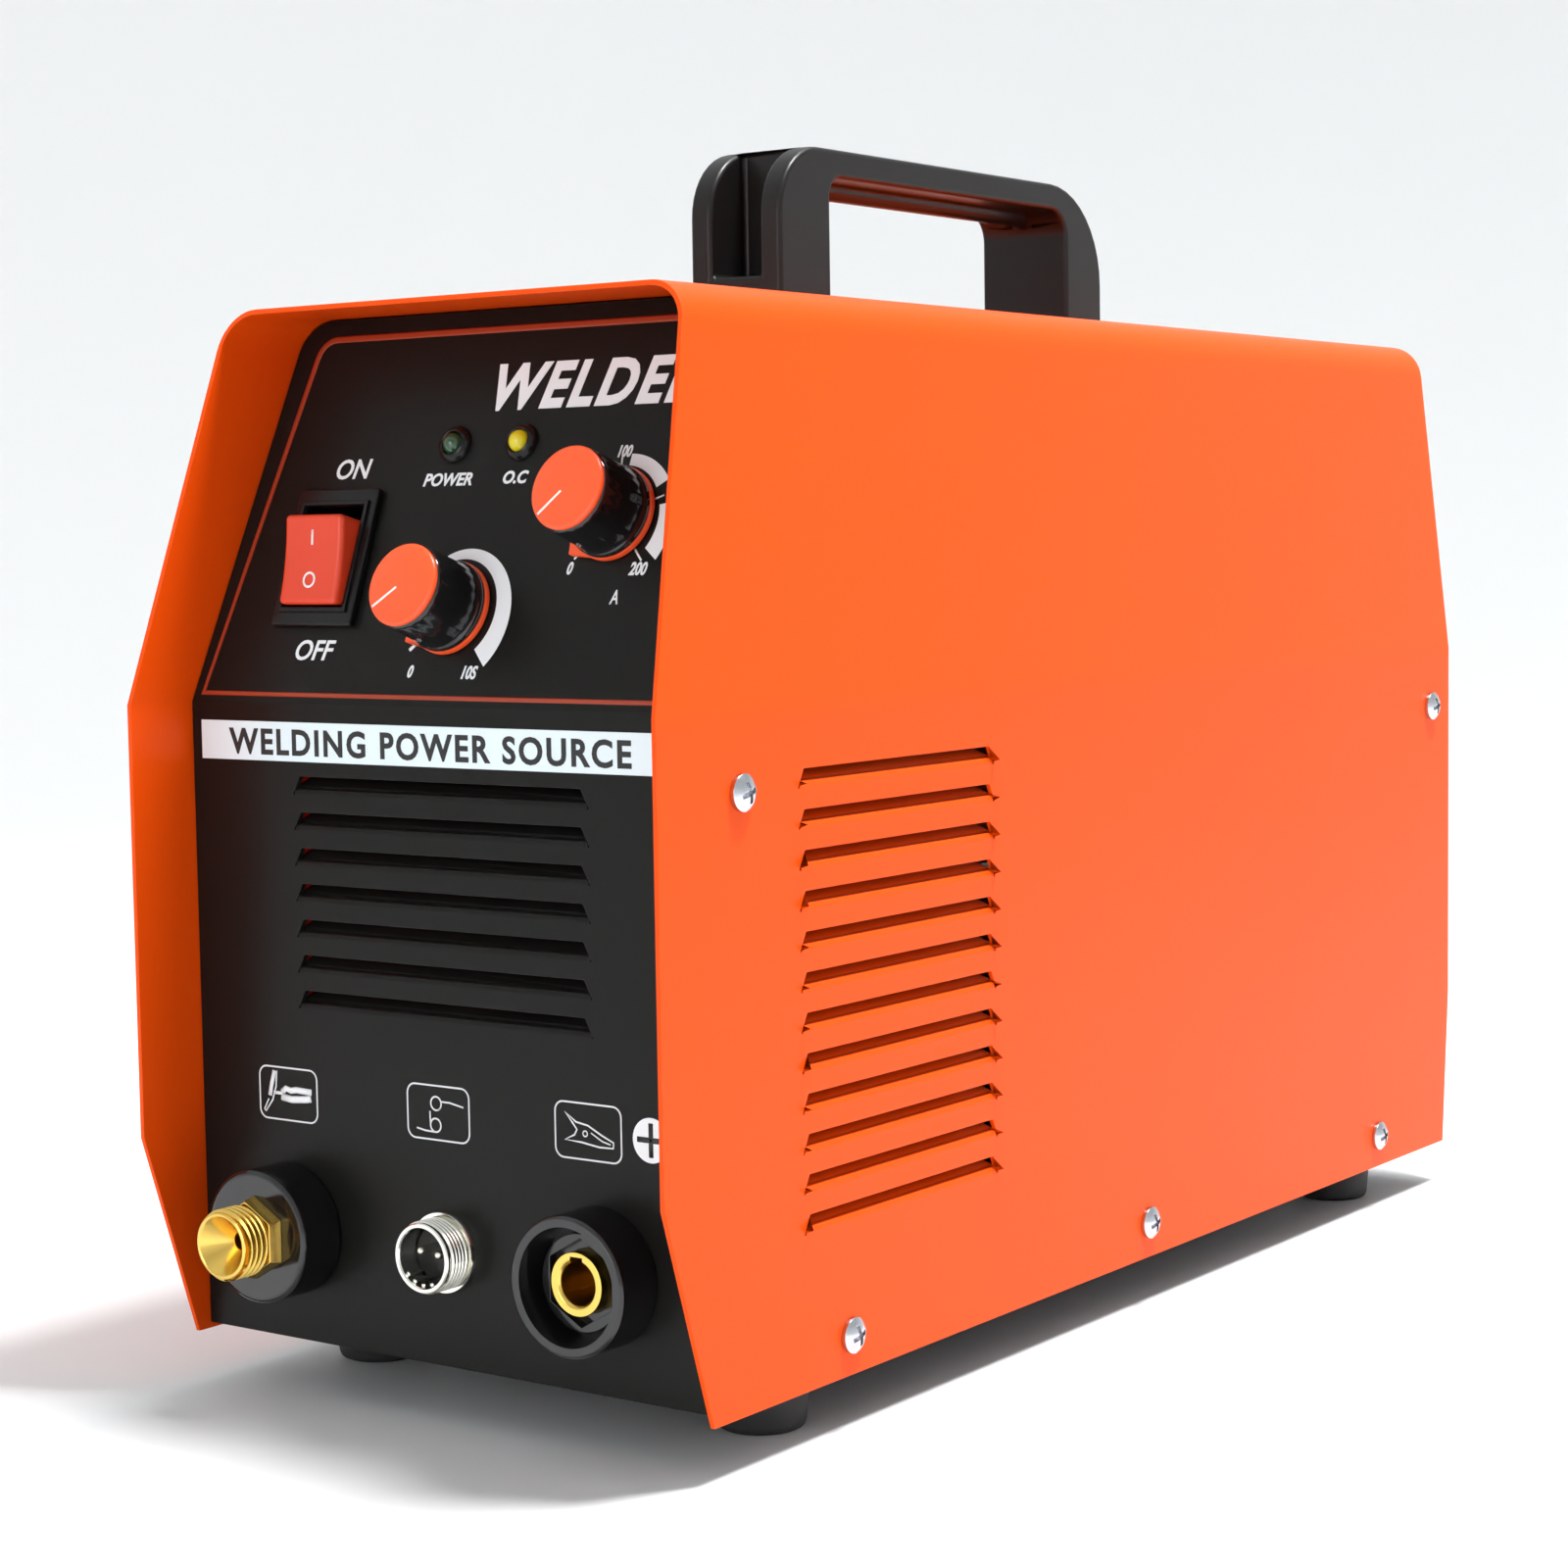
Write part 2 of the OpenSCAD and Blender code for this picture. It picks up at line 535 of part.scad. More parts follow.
// Fittings above the fan: mains gland, gas inlet with its barb, earth stud
module cable_gland() color("#161616") place() at_rear(gland_at[0], gland_at[1]) difference() {
    union() {
        hex_nut(24, 6, 12);
        rotate_extrude() polygon([[0, 0], [10, 0], [11.4, 6], [11.4, 14], [9, 21], [7.5, 22], [0, 22]]);
        translate([0, 0, -10]) cylinder(d = 20, h = 10);
    }
    translate([0, 0, -20]) cylinder(d = 9.5, h = 60);
}
module gland_nut() color("#161616") place() at_rear(gland_at[0], gland_at[1])
    translate([0, 0, -panel_t - 5]) hex_nut(26, 5, 20);
module gas_inlet() color("#d9b23c") place() at_rear(inlet_at[0], inlet_at[1]) difference() {
    union() {
        cylinder(d = 15 / cos(30), h = 5, $fn = 6);
        translate([0, 0, 5]) cylinder(d = 8, h = barb_l - 5);
        for (i = [0:3]) translate([0, 0, barb_l - 5 - i * 4]) cylinder(d1 = 10, d2 = 8, h = 4);
        translate([0, 0, -12]) cylinder(d = 10, h = 12);
        translate([0, 0, -panel_t - 4]) cylinder(d = 15 / cos(30), h = 4, $fn = 6);
        translate([0, 0, -26]) cylinder(d = 8, h = 15);
    }
    translate([0, 0, -30]) cylinder(d = 4.5, h = 80);
}
// A 6 mm stud: full size where its thread is free, core size where the nuts grip it
module earth_stud() color("silver") place() at_rear(earth_at[0], earth_at[1]) {
    translate([0, 0, -12]) cylinder(d = 5, h = 17);
    translate([0, 0, 5]) cylinder(d = 6, h = 11);
}
module earth_nuts() color("gainsboro") place() at_rear(earth_at[0], earth_at[1]) {
    hex_nut(10, 5, 5);
    translate([0, 0, -panel_t - 5]) hex_nut(10, 5, 5);
}

// Inside: main board with its heat sinks, capacitors, transformer and reactor
standoff_spots = [for (x = [-54, 54], y = [80, 205, 330]) [x, y]];
module main_board() color("#1f5a38") place() difference() {
    translate([-60, 72, board_z]) cube([120, 266, board_t]);
    for (s = standoff_spots) translate([s[0], s[1], board_z - 1]) cylinder(d = 3.4, h = 5);
}
module board_standoffs() color("#c8a848") place()
    for (s = standoff_spots) translate([s[0], s[1], floor_z + tray_t]) {
        cylinder(d = 8 / cos(30), h = board_z - floor_z - tray_t, $fn = 6);
        cylinder(d = 3.2, h = board_z - floor_z - tray_t + board_t + 0.8);
    }
sink_y = [185, 320];
module heat_sinks() color("silver") place() for (side = [0, 1]) mirror([side, 0, 0]) {
    translate([29, sink_y[0], board_z + board_t]) cube([5, sink_y[1] - sink_y[0], 66]);
    for (i = [0:8]) translate([34, sink_y[0], board_z + board_t + 1 + i * 7.8])
        cube([22, sink_y[1] - sink_y[0], 1.6]);
}
module power_transistors() color("#181818") place()
    for (side = [0, 1], y = [188:24:308]) mirror([side, 0, 0]) translate([24, y, board_z + board_t + 8]) {
        cube([5, 16, 21]);
        for (p = [2.4, 7.4, 12.4]) translate([2, p, -8]) cube([1, 1.2, 8]);
    }
module capacitors() color("#23304a") place()
    for (x = [-30, 4, 38], y = [122, 160]) translate([x - 4, y, board_z + board_t]) difference() {
        cylinder(d = 30, h = 50);
        rotate_extrude() translate([15, 6]) circle(d = 1.6, $fn = 16);
    }
module transformer_core() color("#3c3c40") place() translate([0, 255, board_z + board_t]) difference() {
    translate([-20, -30, 3]) cube([40, 60, 56]);
    for (s = [-1, 1]) translate([-21, s * 15.5 - 6.5, 14]) cube([42, 13, 34]);
}
module transformer_winding() color("#c7772e") place() translate([0, 255, board_z + board_t]) difference() {
    translate([-21.5, -21, 15]) cube([43, 42, 32]);
    translate([-20, -9, 0]) cube([40, 18, 60]);
}
module reactor() color("#b8742c") place() translate([0, 90, board_z + board_t]) {
    translate([0, -7, 27]) rotate([-90, 0, 0]) rotate_extrude() translate([13, 0])
        polygon([[0, 0], [12, 0], [12, 14], [0, 14]]);
    translate([-12, -9, 0]) cube([24, 18, 2]);
    for (a = [0:30:330]) translate([0, 0, 27]) rotate([0, a, 0])
        translate([11.8, -8.2, -2]) cube([14.4, 16.4, 4]);
}
module control_board() color("#1f5a38") place() {
    translate([-44, 95, shelf_z + 8]) cube([88, 110, board_t]);
    for (x = [-38, 38], y = [102, 198]) translate([x, y, shelf_z]) cylinder(d = 6, h = 8);
    for (x = [-30, -8, 14], y = [112, 140, 168])
        translate([x, y, shelf_z + 8 + board_t]) cube([16, 10, 4]);
}
module arc_starter_coil() color("#c7772e") place() translate([-35, 255, shelf_z]) difference() {
    union() {
        cylinder(d = 46, h = 2);
        cylinder(d = 40, h = 26);
        translate([0, 0, 26]) cylinder(d = 46, h = 2);
    }
    translate([0, 0, -1]) cylinder(d = 20, h = 40);
}

// Gas valve: brass block, coil, and a sprung plunger that lifts off its seat
plunger_stroke = 2.5;
module valve_body() color("#c9a23c") place() translate([40, valve_y, shelf_z]) difference() {
    union() {
        translate([-12, -14, 0]) cube([24, 28, 24]);
        translate([0, -24, 12]) rotate([-90, 0, 0]) cylinder(d = 8, h = 45);
        translate([0, 0, 24]) cylinder(d = 13, h = 34);
    }
    translate([0, 0, 15]) cylinder(d = 10.1, h = 41);
    translate([0, 0, 8]) cylinder(d = 4, h = 10);
    translate([0, -30, 12]) rotate([-90, 0, 0]) cylinder(d = 4, h = 22);
    translate([0, -8, 10]) cylinder(d = 3, h = 3);
    translate([0, 8, 12]) rotate([-90, 0, 0]) cylinder(d = 4, h = 22);
}
module valve_coil() color("#1b2a4a") place() translate([40, valve_y, shelf_z + 24]) difference() {
    translate([-13, -14, 0.2]) cube([26, 28, 30]);
    translate([0, 0, -1]) cylinder(d = 13.2, h = 40);
}
module valve_plunger() color("gainsboro") place() translate([40, valve_y, shelf_z + 15]) {
    cylinder(d = 10, h = 24);
}
spring_low = shelf_z + 39;
module valve_spring() color("silver") place() translate([40, valve_y, spring_low])
    for (i = [0:7]) translate([0, 0, 0.5 + i * 2.28]) rotate_extrude() translate([3.4, 0])
        circle(d = 0.9, $fn = 16);

// A tube swept along points: rings square to the path, joined into one closed solid
function unit(v) = v / norm(v);
function spline(p, i, t) = let (a = p[max(i - 1, 0)], b = p[i], c = p[i + 1],
    d = p[min(i + 2, len(p) - 1)])
    0.5 * (2 * b + (c - a) * t + (2 * a - 5 * b + 4 * c - d) * t * t
        + (3 * b - a - 3 * c + d) * t * t * t);
function smooth_path(p, n) = concat([for (i = [0:len(p) - 2], k = [0:n - 1]) spline(p, i, k / n)],
    [p[len(p) - 1]]);
function ring_at(q, i, r, sides) = let (
    along_path = unit(q[min(i + 1, len(q) - 1)] - q[max(i - 1, 0)]),
    u = unit(cross(along_path, [0.35, -0.3, 0.9])), v = cross(along_path, u))
    [for (k = [0:sides - 1]) q[i] + r * (u * cos(k * 360 / sides) + v * sin(k * 360 / sides))];
module tube(route, d, sides, n) {
    q = smooth_path(route, n);
    rings = len(q);
    polyhedron([for (i = [0:rings - 1]) each ring_at(q, i, d / 2, sides)],
        concat([[for (k = [0:sides - 1]) k]],
            [for (i = [0:rings - 2], k = [0:sides - 1]) [i * sides + k, (i + 1) * sides + k,
                (i + 1) * sides + (k + 1) % sides, i * sides + (k + 1) % sides]],
            [[for (k = [sides - 1:-1:0]) (rings - 1) * sides + k]]));
}
module gas_hoses() color("#3a3a3a") place() {
    tube(hose_route, 8, 10, 4);
    translate([40, valve_y + 21, inlet_at[1]]) rotate([-90, 0, 0])
        cylinder(d = 8, h = rear_y - 26 - valve_y - 21);
}
module positive_busbar() color("#b87333") place() translate([socket_x, recess + 29, 0]) {
    difference() {
        translate([-8, 5, 31.6]) cube([16, 3, 15.4]);
        translate([0, 0, outlet_z]) rotate([-90, 0, 0]) cylinder(d = 10.2, h = 20);
    }
    translate([-8, 8, 31.6]) cube([16, 40, 3]);
}

cover();
base_tray();
front_panel();
rear_panel();
shelf();
handle();
handle_screws();
cover_screws();
feet();
foot_screws();
switch_housing();
switch_rocker();
current_pot();
slope_pot();
pot_nuts();
current_shaft();
slope_shaft();
current_knob();
slope_knob();
current_knob_cap();
slope_knob_cap();
current_pointer_ring();
slope_pointer_ring();
led_holders();
power_led();
overload_led();
outlet_housing();
gas_nozzle();
control_socket_shell();
control_socket_insert();
control_socket_pins();
control_socket_nut();
power_socket_housing();
power_socket_insert();
outlet_nuts();
fan_frame();
fan_rotor();
fan_guard();
fan_screws();
cable_gland();
gland_nut();
gas_inlet();
earth_stud();
earth_nuts();
main_board();
board_standoffs();
heat_sinks();
power_transistors();
capacitors();
transformer_core();
transformer_winding();
reactor();
control_board();
arc_starter_coil();
valve_body();
valve_coil();
valve_plunger();
valve_spring();
gas_hoses();
positive_busbar();
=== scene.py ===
# %% [markdown]
# # A small TIG welding machine
# The real machine is a folded sheet-steel case, about as big as a shoe box, with a
# sunk black control face, pressed louvres, a moulded handle, and brass and plated
# outlets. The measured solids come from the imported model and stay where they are.
# This script gives every one of them a finish. Where a solid is plainer than the
# real piece, a finer piece is modelled in the same place to stand for it.

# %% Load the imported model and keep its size
import json
import math

import bmesh
import bpy
from mathutils import Matrix, Vector


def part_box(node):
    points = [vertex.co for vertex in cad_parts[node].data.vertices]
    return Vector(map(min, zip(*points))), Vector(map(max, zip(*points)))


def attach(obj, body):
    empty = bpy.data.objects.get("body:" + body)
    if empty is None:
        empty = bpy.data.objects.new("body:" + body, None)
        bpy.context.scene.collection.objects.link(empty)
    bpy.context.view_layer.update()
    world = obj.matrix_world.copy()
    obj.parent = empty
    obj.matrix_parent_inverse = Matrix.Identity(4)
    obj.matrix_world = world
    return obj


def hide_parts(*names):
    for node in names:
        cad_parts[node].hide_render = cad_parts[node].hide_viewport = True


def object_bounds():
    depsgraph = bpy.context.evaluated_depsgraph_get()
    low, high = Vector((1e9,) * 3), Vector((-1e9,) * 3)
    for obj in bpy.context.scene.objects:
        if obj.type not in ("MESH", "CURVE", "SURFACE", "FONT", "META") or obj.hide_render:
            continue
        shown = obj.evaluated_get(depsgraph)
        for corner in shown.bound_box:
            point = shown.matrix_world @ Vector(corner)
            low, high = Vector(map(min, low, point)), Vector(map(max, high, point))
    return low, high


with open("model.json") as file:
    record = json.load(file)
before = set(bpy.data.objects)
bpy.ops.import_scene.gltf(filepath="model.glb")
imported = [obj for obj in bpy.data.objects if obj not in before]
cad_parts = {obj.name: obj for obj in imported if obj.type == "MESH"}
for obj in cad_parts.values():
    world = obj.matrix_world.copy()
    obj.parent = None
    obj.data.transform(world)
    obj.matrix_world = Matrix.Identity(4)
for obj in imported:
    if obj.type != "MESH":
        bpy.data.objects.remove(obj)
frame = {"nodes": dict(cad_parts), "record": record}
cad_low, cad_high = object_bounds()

MM = 0.001
nodes = frame["nodes"]
print("CAD size in mm:", [round(v / MM, 1) for v in cad_high - cad_low])

# %% [markdown]
# ## Camera
# The machine is seen from its front right, from a little above the middle of its
# height. A long lens keeps the far end nearly as large as the near end. The camera's
# axes come from its heading, its tilt and a small roll, and a matrix sets all three at
# once, which avoids a chain of rotations.

# %% The camera
heading, tilt, roll = math.radians(35.75), math.radians(4.51), math.radians(-0.87)
camera_back = Vector((math.sin(heading) * math.cos(tilt),
                      -math.cos(heading) * math.cos(tilt), math.sin(tilt)))
level_right = Vector((0, 0, 1)).cross(camera_back).normalized()
level_up = camera_back.cross(level_right)
camera_right = math.cos(roll) * level_right + math.sin(roll) * level_up
camera_up = math.cos(roll) * level_up - math.sin(roll) * level_right
bpy.ops.object.camera_add()
camera = bpy.context.object
camera.matrix_world = (Matrix.Translation((0.4544, -0.6827, 0.1930))
                       @ Matrix((camera_right, camera_up, camera_back)).transposed().to_4x4())
camera.data.lens = 72.17
camera.data.sensor_width = 36
camera.data.clip_start = 0.02
bpy.context.scene.camera = camera
print("camera stands", round(camera.location.length, 3), "m from the middle of the base")

# %% [markdown]
# ## Helpers for modelling
# Blender's operators act on whatever is selected, so each helper first clears the
# selection. Faces and edges are picked in code, by where they lie, which keeps every
# step repeatable. Pieces are drawn flat at the origin and then carried to one of
# three faces of the machine: the sloping control face, the upright panel below it,
# or the back.

# %% Selecting and editing
PARTS = {"VERT": "verts", "EDGE": "edges", "FACE": "faces"}


def only(*objects):
    """Select these objects and nothing else. The last one is active."""
    if bpy.context.object and bpy.context.object.mode != "OBJECT":
        bpy.ops.object.mode_set(mode="OBJECT")
    bpy.ops.object.select_all(action="DESELECT")
    for item in objects:
        item.select_set(True)
    bpy.context.view_layer.objects.active = objects[-1]
    return objects[-1]


def edit(piece):
    """Start editing one piece."""
    only(piece)
    bpy.ops.object.mode_set(mode="EDIT")


def done():
    """Stop editing and give back the edited piece."""
    bpy.ops.object.mode_set(mode="OBJECT")
    return bpy.context.object


def choose(kind, test):
    """In edit mode, select the vertices, edges or faces that pass the test."""
    bpy.ops.mesh.select_all(action="DESELECT")
    bpy.ops.mesh.select_mode(type=kind)
    mesh = bmesh.from_edit_mesh(bpy.context.object.data)
    picked = [item for item in getattr(mesh, PARTS[kind]) if test(item)]
    for item in picked:
        item.select_set(True)
    mesh.select_flush_mode()
    bmesh.update_edit_mesh(bpy.context.object.data)
    return len(picked)


def ends(edge):
    """The places of an edge's two vertices."""
    return [v.co for v in edge.verts]


def modify(piece, kind, **settings):
    """Add a modifier with these settings and apply it."""
    only(piece)
    modifier = piece.modifiers.new(kind.title(), kind)
    for name, value in settings.items():
        setattr(modifier, name, value)
    bpy.ops.object.modifier_apply(modifier=modifier.name)


def smooth(piece, angle):
    """Shade smooth, but keep the edges that are sharper than an angle in degrees."""
    only(piece)
    bpy.ops.object.shade_smooth_by_angle(angle=math.radians(angle))
    return piece


def round_edges(piece, width, segments=2, angle=40):
    """Bevel the sharp edges, then shade so that flat faces still look flat."""
    modify(piece, "BEVEL", width=width, segments=segments, limit_method="ANGLE",
           angle_limit=math.radians(angle), use_clamp_overlap=False, loop_slide=False)
    smooth(piece, 35)
    modify(piece, "WEIGHTED_NORMAL", keep_sharp=True)
    return piece


# %% Copying a CAD solid, lathing, joining, placing
def copy_of(node):
    """A clean copy of a CAD node's mesh: welded, with its flat faces in one piece."""
    piece = bpy.data.objects.new(node + "_shape", nodes[node].data.copy())
    bpy.context.scene.collection.objects.link(piece)
    edit(piece)
    bpy.ops.mesh.select_all(action="SELECT")
    bpy.ops.mesh.customdata_custom_splitnormals_clear()
    bpy.ops.mesh.remove_doubles(threshold=0.002 * MM)
    bpy.ops.mesh.dissolve_limited(angle_limit=math.radians(0.6))
    return done()


def outline(points, closed=False):
    """A chain of edges drawn point by point with extrude."""
    bpy.ops.mesh.primitive_plane_add(size=MM)
    piece = bpy.context.object
    edit(piece)
    bpy.ops.mesh.select_mode(type="VERT")
    bpy.ops.mesh.select_all(action="SELECT")
    bpy.ops.mesh.merge(type="CENTER")
    here = Vector((0, 0, 0))
    for i, point in enumerate(points):
        step = Vector(point) * MM - here
        here = Vector(point) * MM
        if i:
            bpy.ops.mesh.extrude_region_move(TRANSFORM_OT_translate={"value": step})
        else:
            bpy.ops.transform.translate(value=step)
    if closed:
        bpy.ops.mesh.select_all(action="SELECT")
        bpy.ops.mesh.edge_face_add()
    return done()


def tidy(piece, reach=0.004):
    """Weld doubles and turn every face outwards."""
    edit(piece)
    bpy.ops.mesh.select_all(action="SELECT")
    bpy.ops.mesh.remove_doubles(threshold=reach * MM)
    bpy.ops.mesh.normals_make_consistent(inside=False)
    return done()


def lathe(profile, steps=72):
    """Spin a profile of (radius, height) points in mm round the Z axis."""
    piece = outline([(r, 0, z) for r, z in profile])
    edit(piece)
    bpy.ops.mesh.select_all(action="SELECT")
    bpy.ops.mesh.spin(steps=steps, angle=math.tau, center=(0, 0, 0), axis=(0, 0, 1))
    done()
    return tidy(piece)


def join(*pieces):
    """Make one piece of several. The last one takes the others in."""
    only(*pieces)
    bpy.ops.object.join()
    return bpy.context.object


def carry(piece, matrix):
    """Move a piece by a matrix and leave its object at the origin."""
    piece.matrix_world = matrix @ piece.matrix_world
    only(piece)
    bpy.ops.object.transform_apply(location=True, rotation=True, scale=True)
    return piece


def block(size, at=(0, 0, 0), turn=0.0):
    """A cube stretched to a size in mm, ready to be shaped further."""
    bpy.ops.mesh.primitive_cube_add(size=1, location=[v * MM for v in at],
                                    rotation=(0, 0, turn), scale=[v * MM for v in size])
    bpy.ops.object.transform_apply(location=True, rotation=True, scale=True)
    return bpy.context.object


# %% The machine's three faces
face_tilt = math.radians(19.8)
panel_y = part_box("front_panel")[0].y
back_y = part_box("rear_panel")[1].y
slope_foot = 157.8 * MM
lean_cos, lean_sin = math.cos(face_tilt), math.sin(face_tilt)
CONTROLS = Matrix(((1, 0, 0, 0), (0, lean_sin, -lean_cos, panel_y),
                   (0, lean_cos, lean_sin, slope_foot), (0, 0, 0, 1)))
LOWER = Matrix(((1, 0, 0, 0), (0, 0, -1, panel_y), (0, 1, 0, 0), (0, 0, 0, 1)))
BACK = Matrix(((-1, 0, 0, 0), (0, 0, 1, back_y), (0, 1, 0, 0), (0, 0, 0, 1)))


def on(face, x, up, out=0.0):
    """A place on one of the faces: x across, up along it, out of it, in mm."""
    return face @ Matrix.Translation((x * MM, up * MM, out * MM))


print("front panel at y", round(panel_y / MM, 1), "and back at y", round(back_y / MM, 1))

# %% [markdown]
# ## Shared shader effects
# Real finishes are never one flat colour. Powder coat has a faint orange peel,
# moulded plastic has a fine grain, and handling and dust change colour and gloss a
# little from place to place. Each effect is a node group with its own inputs, built
# once and placed in many materials. The groups only put out colours, values and
# normals, and the shader itself stays in each material.


# %% Building a node group
def new_group(name, inputs, outputs):
    """An empty node group with its sockets, and its input and output nodes."""
    tree = bpy.data.node_groups.new(name, "ShaderNodeTree")
    for label, kind, value in inputs:
        socket = tree.interface.new_socket(name=label, in_out="INPUT", socket_type=kind)
        socket.default_value = value
    for label, kind in outputs:
        tree.interface.new_socket(name=label, in_out="OUTPUT", socket_type=kind)
    return tree, tree.nodes.new("NodeGroupInput"), tree.nodes.new("NodeGroupOutput")


def put(tree, kind, settings=None, **inputs):
    """Add a node. Inputs may be plain values or another node's output socket."""
    item = tree.nodes.new("ShaderNode" + kind)
    for name, value in (settings or {}).items():
        setattr(item, name, value)
    for name, value in inputs.items():
        socket = item.inputs[int(name[1:]) if name[0] == "i" and name[1:].isdigit()
                             else name.replace("_", " ")]
        if isinstance(value, bpy.types.NodeSocket):
            tree.links.new(value, socket)
        else:
            socket.default_value = value
    return item


def cloudy(tree, scale, detail, roughness=0.5):
    """Soft noise fixed to the object, as an output socket."""
    place = put(tree, "TexCoord")
    noise = put(tree, "TexNoise", Vector=place.outputs["Object"], Scale=scale, Detail=detail,
                Roughness=roughness)
    return noise.outputs["Fac"]


def times(tree, first, second):
    return put(tree, "Math", {"operation": "MULTIPLY"}, i0=first, i1=second).outputs[0]


def blend(tree, factor, first, second):
    """Two colours mixed by a factor, as an output socket."""
    mixed = put(tree, "Mix", {"data_type": "RGBA"}, Factor=factor, i6=first, i7=second)
    return mixed.outputs[2]


NUMBER, COLOUR, VECTOR = "NodeSocketFloat", "NodeSocketColor", "NodeSocketVector"

# %% Colour drift and gloss drift
tree, given, result = new_group(
    "Colour drift", [("Color", COLOUR, (1, 1, 1, 1)), ("Amount", NUMBER, 0.05),
                     ("Scale", NUMBER, 20.0)], [("Color", COLOUR)])
swing = put(tree, "Math", {"operation": "SUBTRACT"}, i1=0.5,
            i0=cloudy(tree, given.outputs["Scale"], 4.0, 0.6))
amount = put(tree, "Math", {"operation": "MULTIPLY_ADD"}, i0=swing.outputs[0],
             i1=given.outputs["Amount"], i2=1.0)
tinted = put(tree, "VectorMath", {"operation": "SCALE"}, Vector=given.outputs["Color"],
             Scale=amount.outputs[0])
tree.links.new(tinted.outputs["Vector"], result.inputs["Color"])
colour_drift = tree

tree, given, result = new_group(
    "Gloss drift", [("Roughness", NUMBER, 0.4), ("Amount", NUMBER, 0.1),
                    ("Scale", NUMBER, 30.0)], [("Roughness", NUMBER)])
swing = put(tree, "Math", {"operation": "SUBTRACT"}, i1=0.5,
            i0=cloudy(tree, given.outputs["Scale"], 5.0, 0.65))
amount = put(tree, "Math", {"operation": "MULTIPLY_ADD", "use_clamp": True},
             i0=swing.outputs[0], i1=given.outputs["Amount"], i2=given.outputs["Roughness"])
tree.links.new(amount.outputs[0], result.inputs["Roughness"])
gloss_drift = tree

# %% Fine grain, turned marks and edge wear
tree, given, result = new_group(
    "Fine grain", [("Scale", NUMBER, 900.0), ("Strength", NUMBER, 0.1),
                   ("Depth", NUMBER, 0.0001), ("Stretch", VECTOR, (1, 1, 1))],
    [("Normal", VECTOR)])
place = put(tree, "TexCoord")
drawn = put(tree, "VectorMath", {"operation": "MULTIPLY"}, i0=place.outputs["Object"],
            i1=given.outputs["Stretch"])
grain = put(tree, "TexNoise", Vector=drawn.outputs["Vector"], Scale=given.outputs["Scale"],
            Detail=3.0, Roughness=0.55)
relief = put(tree, "Bump", Height=grain.outputs["Fac"], Strength=given.outputs["Strength"],
             Distance=given.outputs["Depth"])
tree.links.new(relief.outputs["Normal"], result.inputs["Normal"])
fine_grain = tree

tree, given, result = new_group(
    "Edge wear", [("Color", COLOUR, (0, 0, 0, 1)), ("Worn Color", COLOUR, (0.2, 0.2, 0.2, 1)),
                  ("Radius", NUMBER, 0.0006), ("Amount", NUMBER, 0.5)], [("Color", COLOUR)])
surface = put(tree, "NewGeometry")
softened = put(tree, "Bevel", {"samples": 4}, Radius=given.outputs["Radius"])
facing = put(tree, "VectorMath", {"operation": "DOT_PRODUCT"},
             i0=softened.outputs["Normal"], i1=surface.outputs["Normal"])
edge = put(tree, "MapRange", Value=facing.outputs["Value"], i1=0.995, i2=0.85, i3=0.0, i4=1.0)
spots = put(tree, "MapRange", Value=cloudy(tree, 160.0, 4.0), i1=0.42, i2=0.62, i3=0.0, i4=1.0)
worn_here = times(tree, times(tree, edge.outputs[0], spots.outputs[0]), given.outputs["Amount"])
tree.links.new(blend(tree, worn_here, given.outputs["Color"], given.outputs["Worn Color"]),
               result.inputs["Color"])
edge_wear = tree

# %% Dust on upward faces, and wound wire
tree, given, result = new_group(
    "Settled dust", [("Color", COLOUR, (0, 0, 0, 1)), ("Dust Color", COLOUR, (0.3, 0.28, 0.25, 1)),
                     ("Amount", NUMBER, 0.1)], [("Color", COLOUR)])
surface = put(tree, "NewGeometry")
axes = put(tree, "SeparateXYZ", Vector=surface.outputs["Normal"])
upward = put(tree, "MapRange", Value=axes.outputs["Z"], i1=0.2, i2=0.95, i3=0.0, i4=1.0)
dust_here = times(tree, times(tree, upward.outputs[0], cloudy(tree, 60.0, 6.0, 0.7)),
                  given.outputs["Amount"])
tree.links.new(blend(tree, dust_here, given.outputs["Color"], given.outputs["Dust Color"]),
               result.inputs["Color"])
settled_dust = tree

tree, given, result = new_group(
    "Wound wire", [("Scale", NUMBER, 300.0), ("Depth", NUMBER, 0.0004),
                   ("Along", VECTOR, (0, 0, 1))], [("Normal", VECTOR), ("Groove", NUMBER)])
place = put(tree, "TexCoord")
drawn = put(tree, "VectorMath", {"operation": "DOT_PRODUCT"}, i0=place.outputs["Object"],
            i1=given.outputs["Along"])
wave = put(tree, "Math", {"operation": "SINE"},
           i0=times(tree, drawn.outputs["Value"], given.outputs["Scale"]))
groove = put(tree, "MapRange", Value=wave.outputs[0], i1=-1.0, i2=1.0, i3=0.0, i4=1.0)
relief = put(tree, "Bump", Height=groove.outputs[0], Strength=0.8,
             Distance=given.outputs["Depth"])
tree.links.new(relief.outputs["Normal"], result.inputs["Normal"])
tree.links.new(groove.outputs[0], result.inputs["Groove"])
wound_wire = tree
print("node groups:", sorted(g.name for g in bpy.data.node_groups))

# %% [markdown]
# ## Finishes
# Every finish is a Principled shader with the shared groups in front of it. What is
# the same all over, such as how metallic a surface is, sits on the shader's own
# sockets. What changes over the surface comes through the groups. The sizes are in
# metres, so a grain scale of 1500 makes bumps a little under a millimetre across.


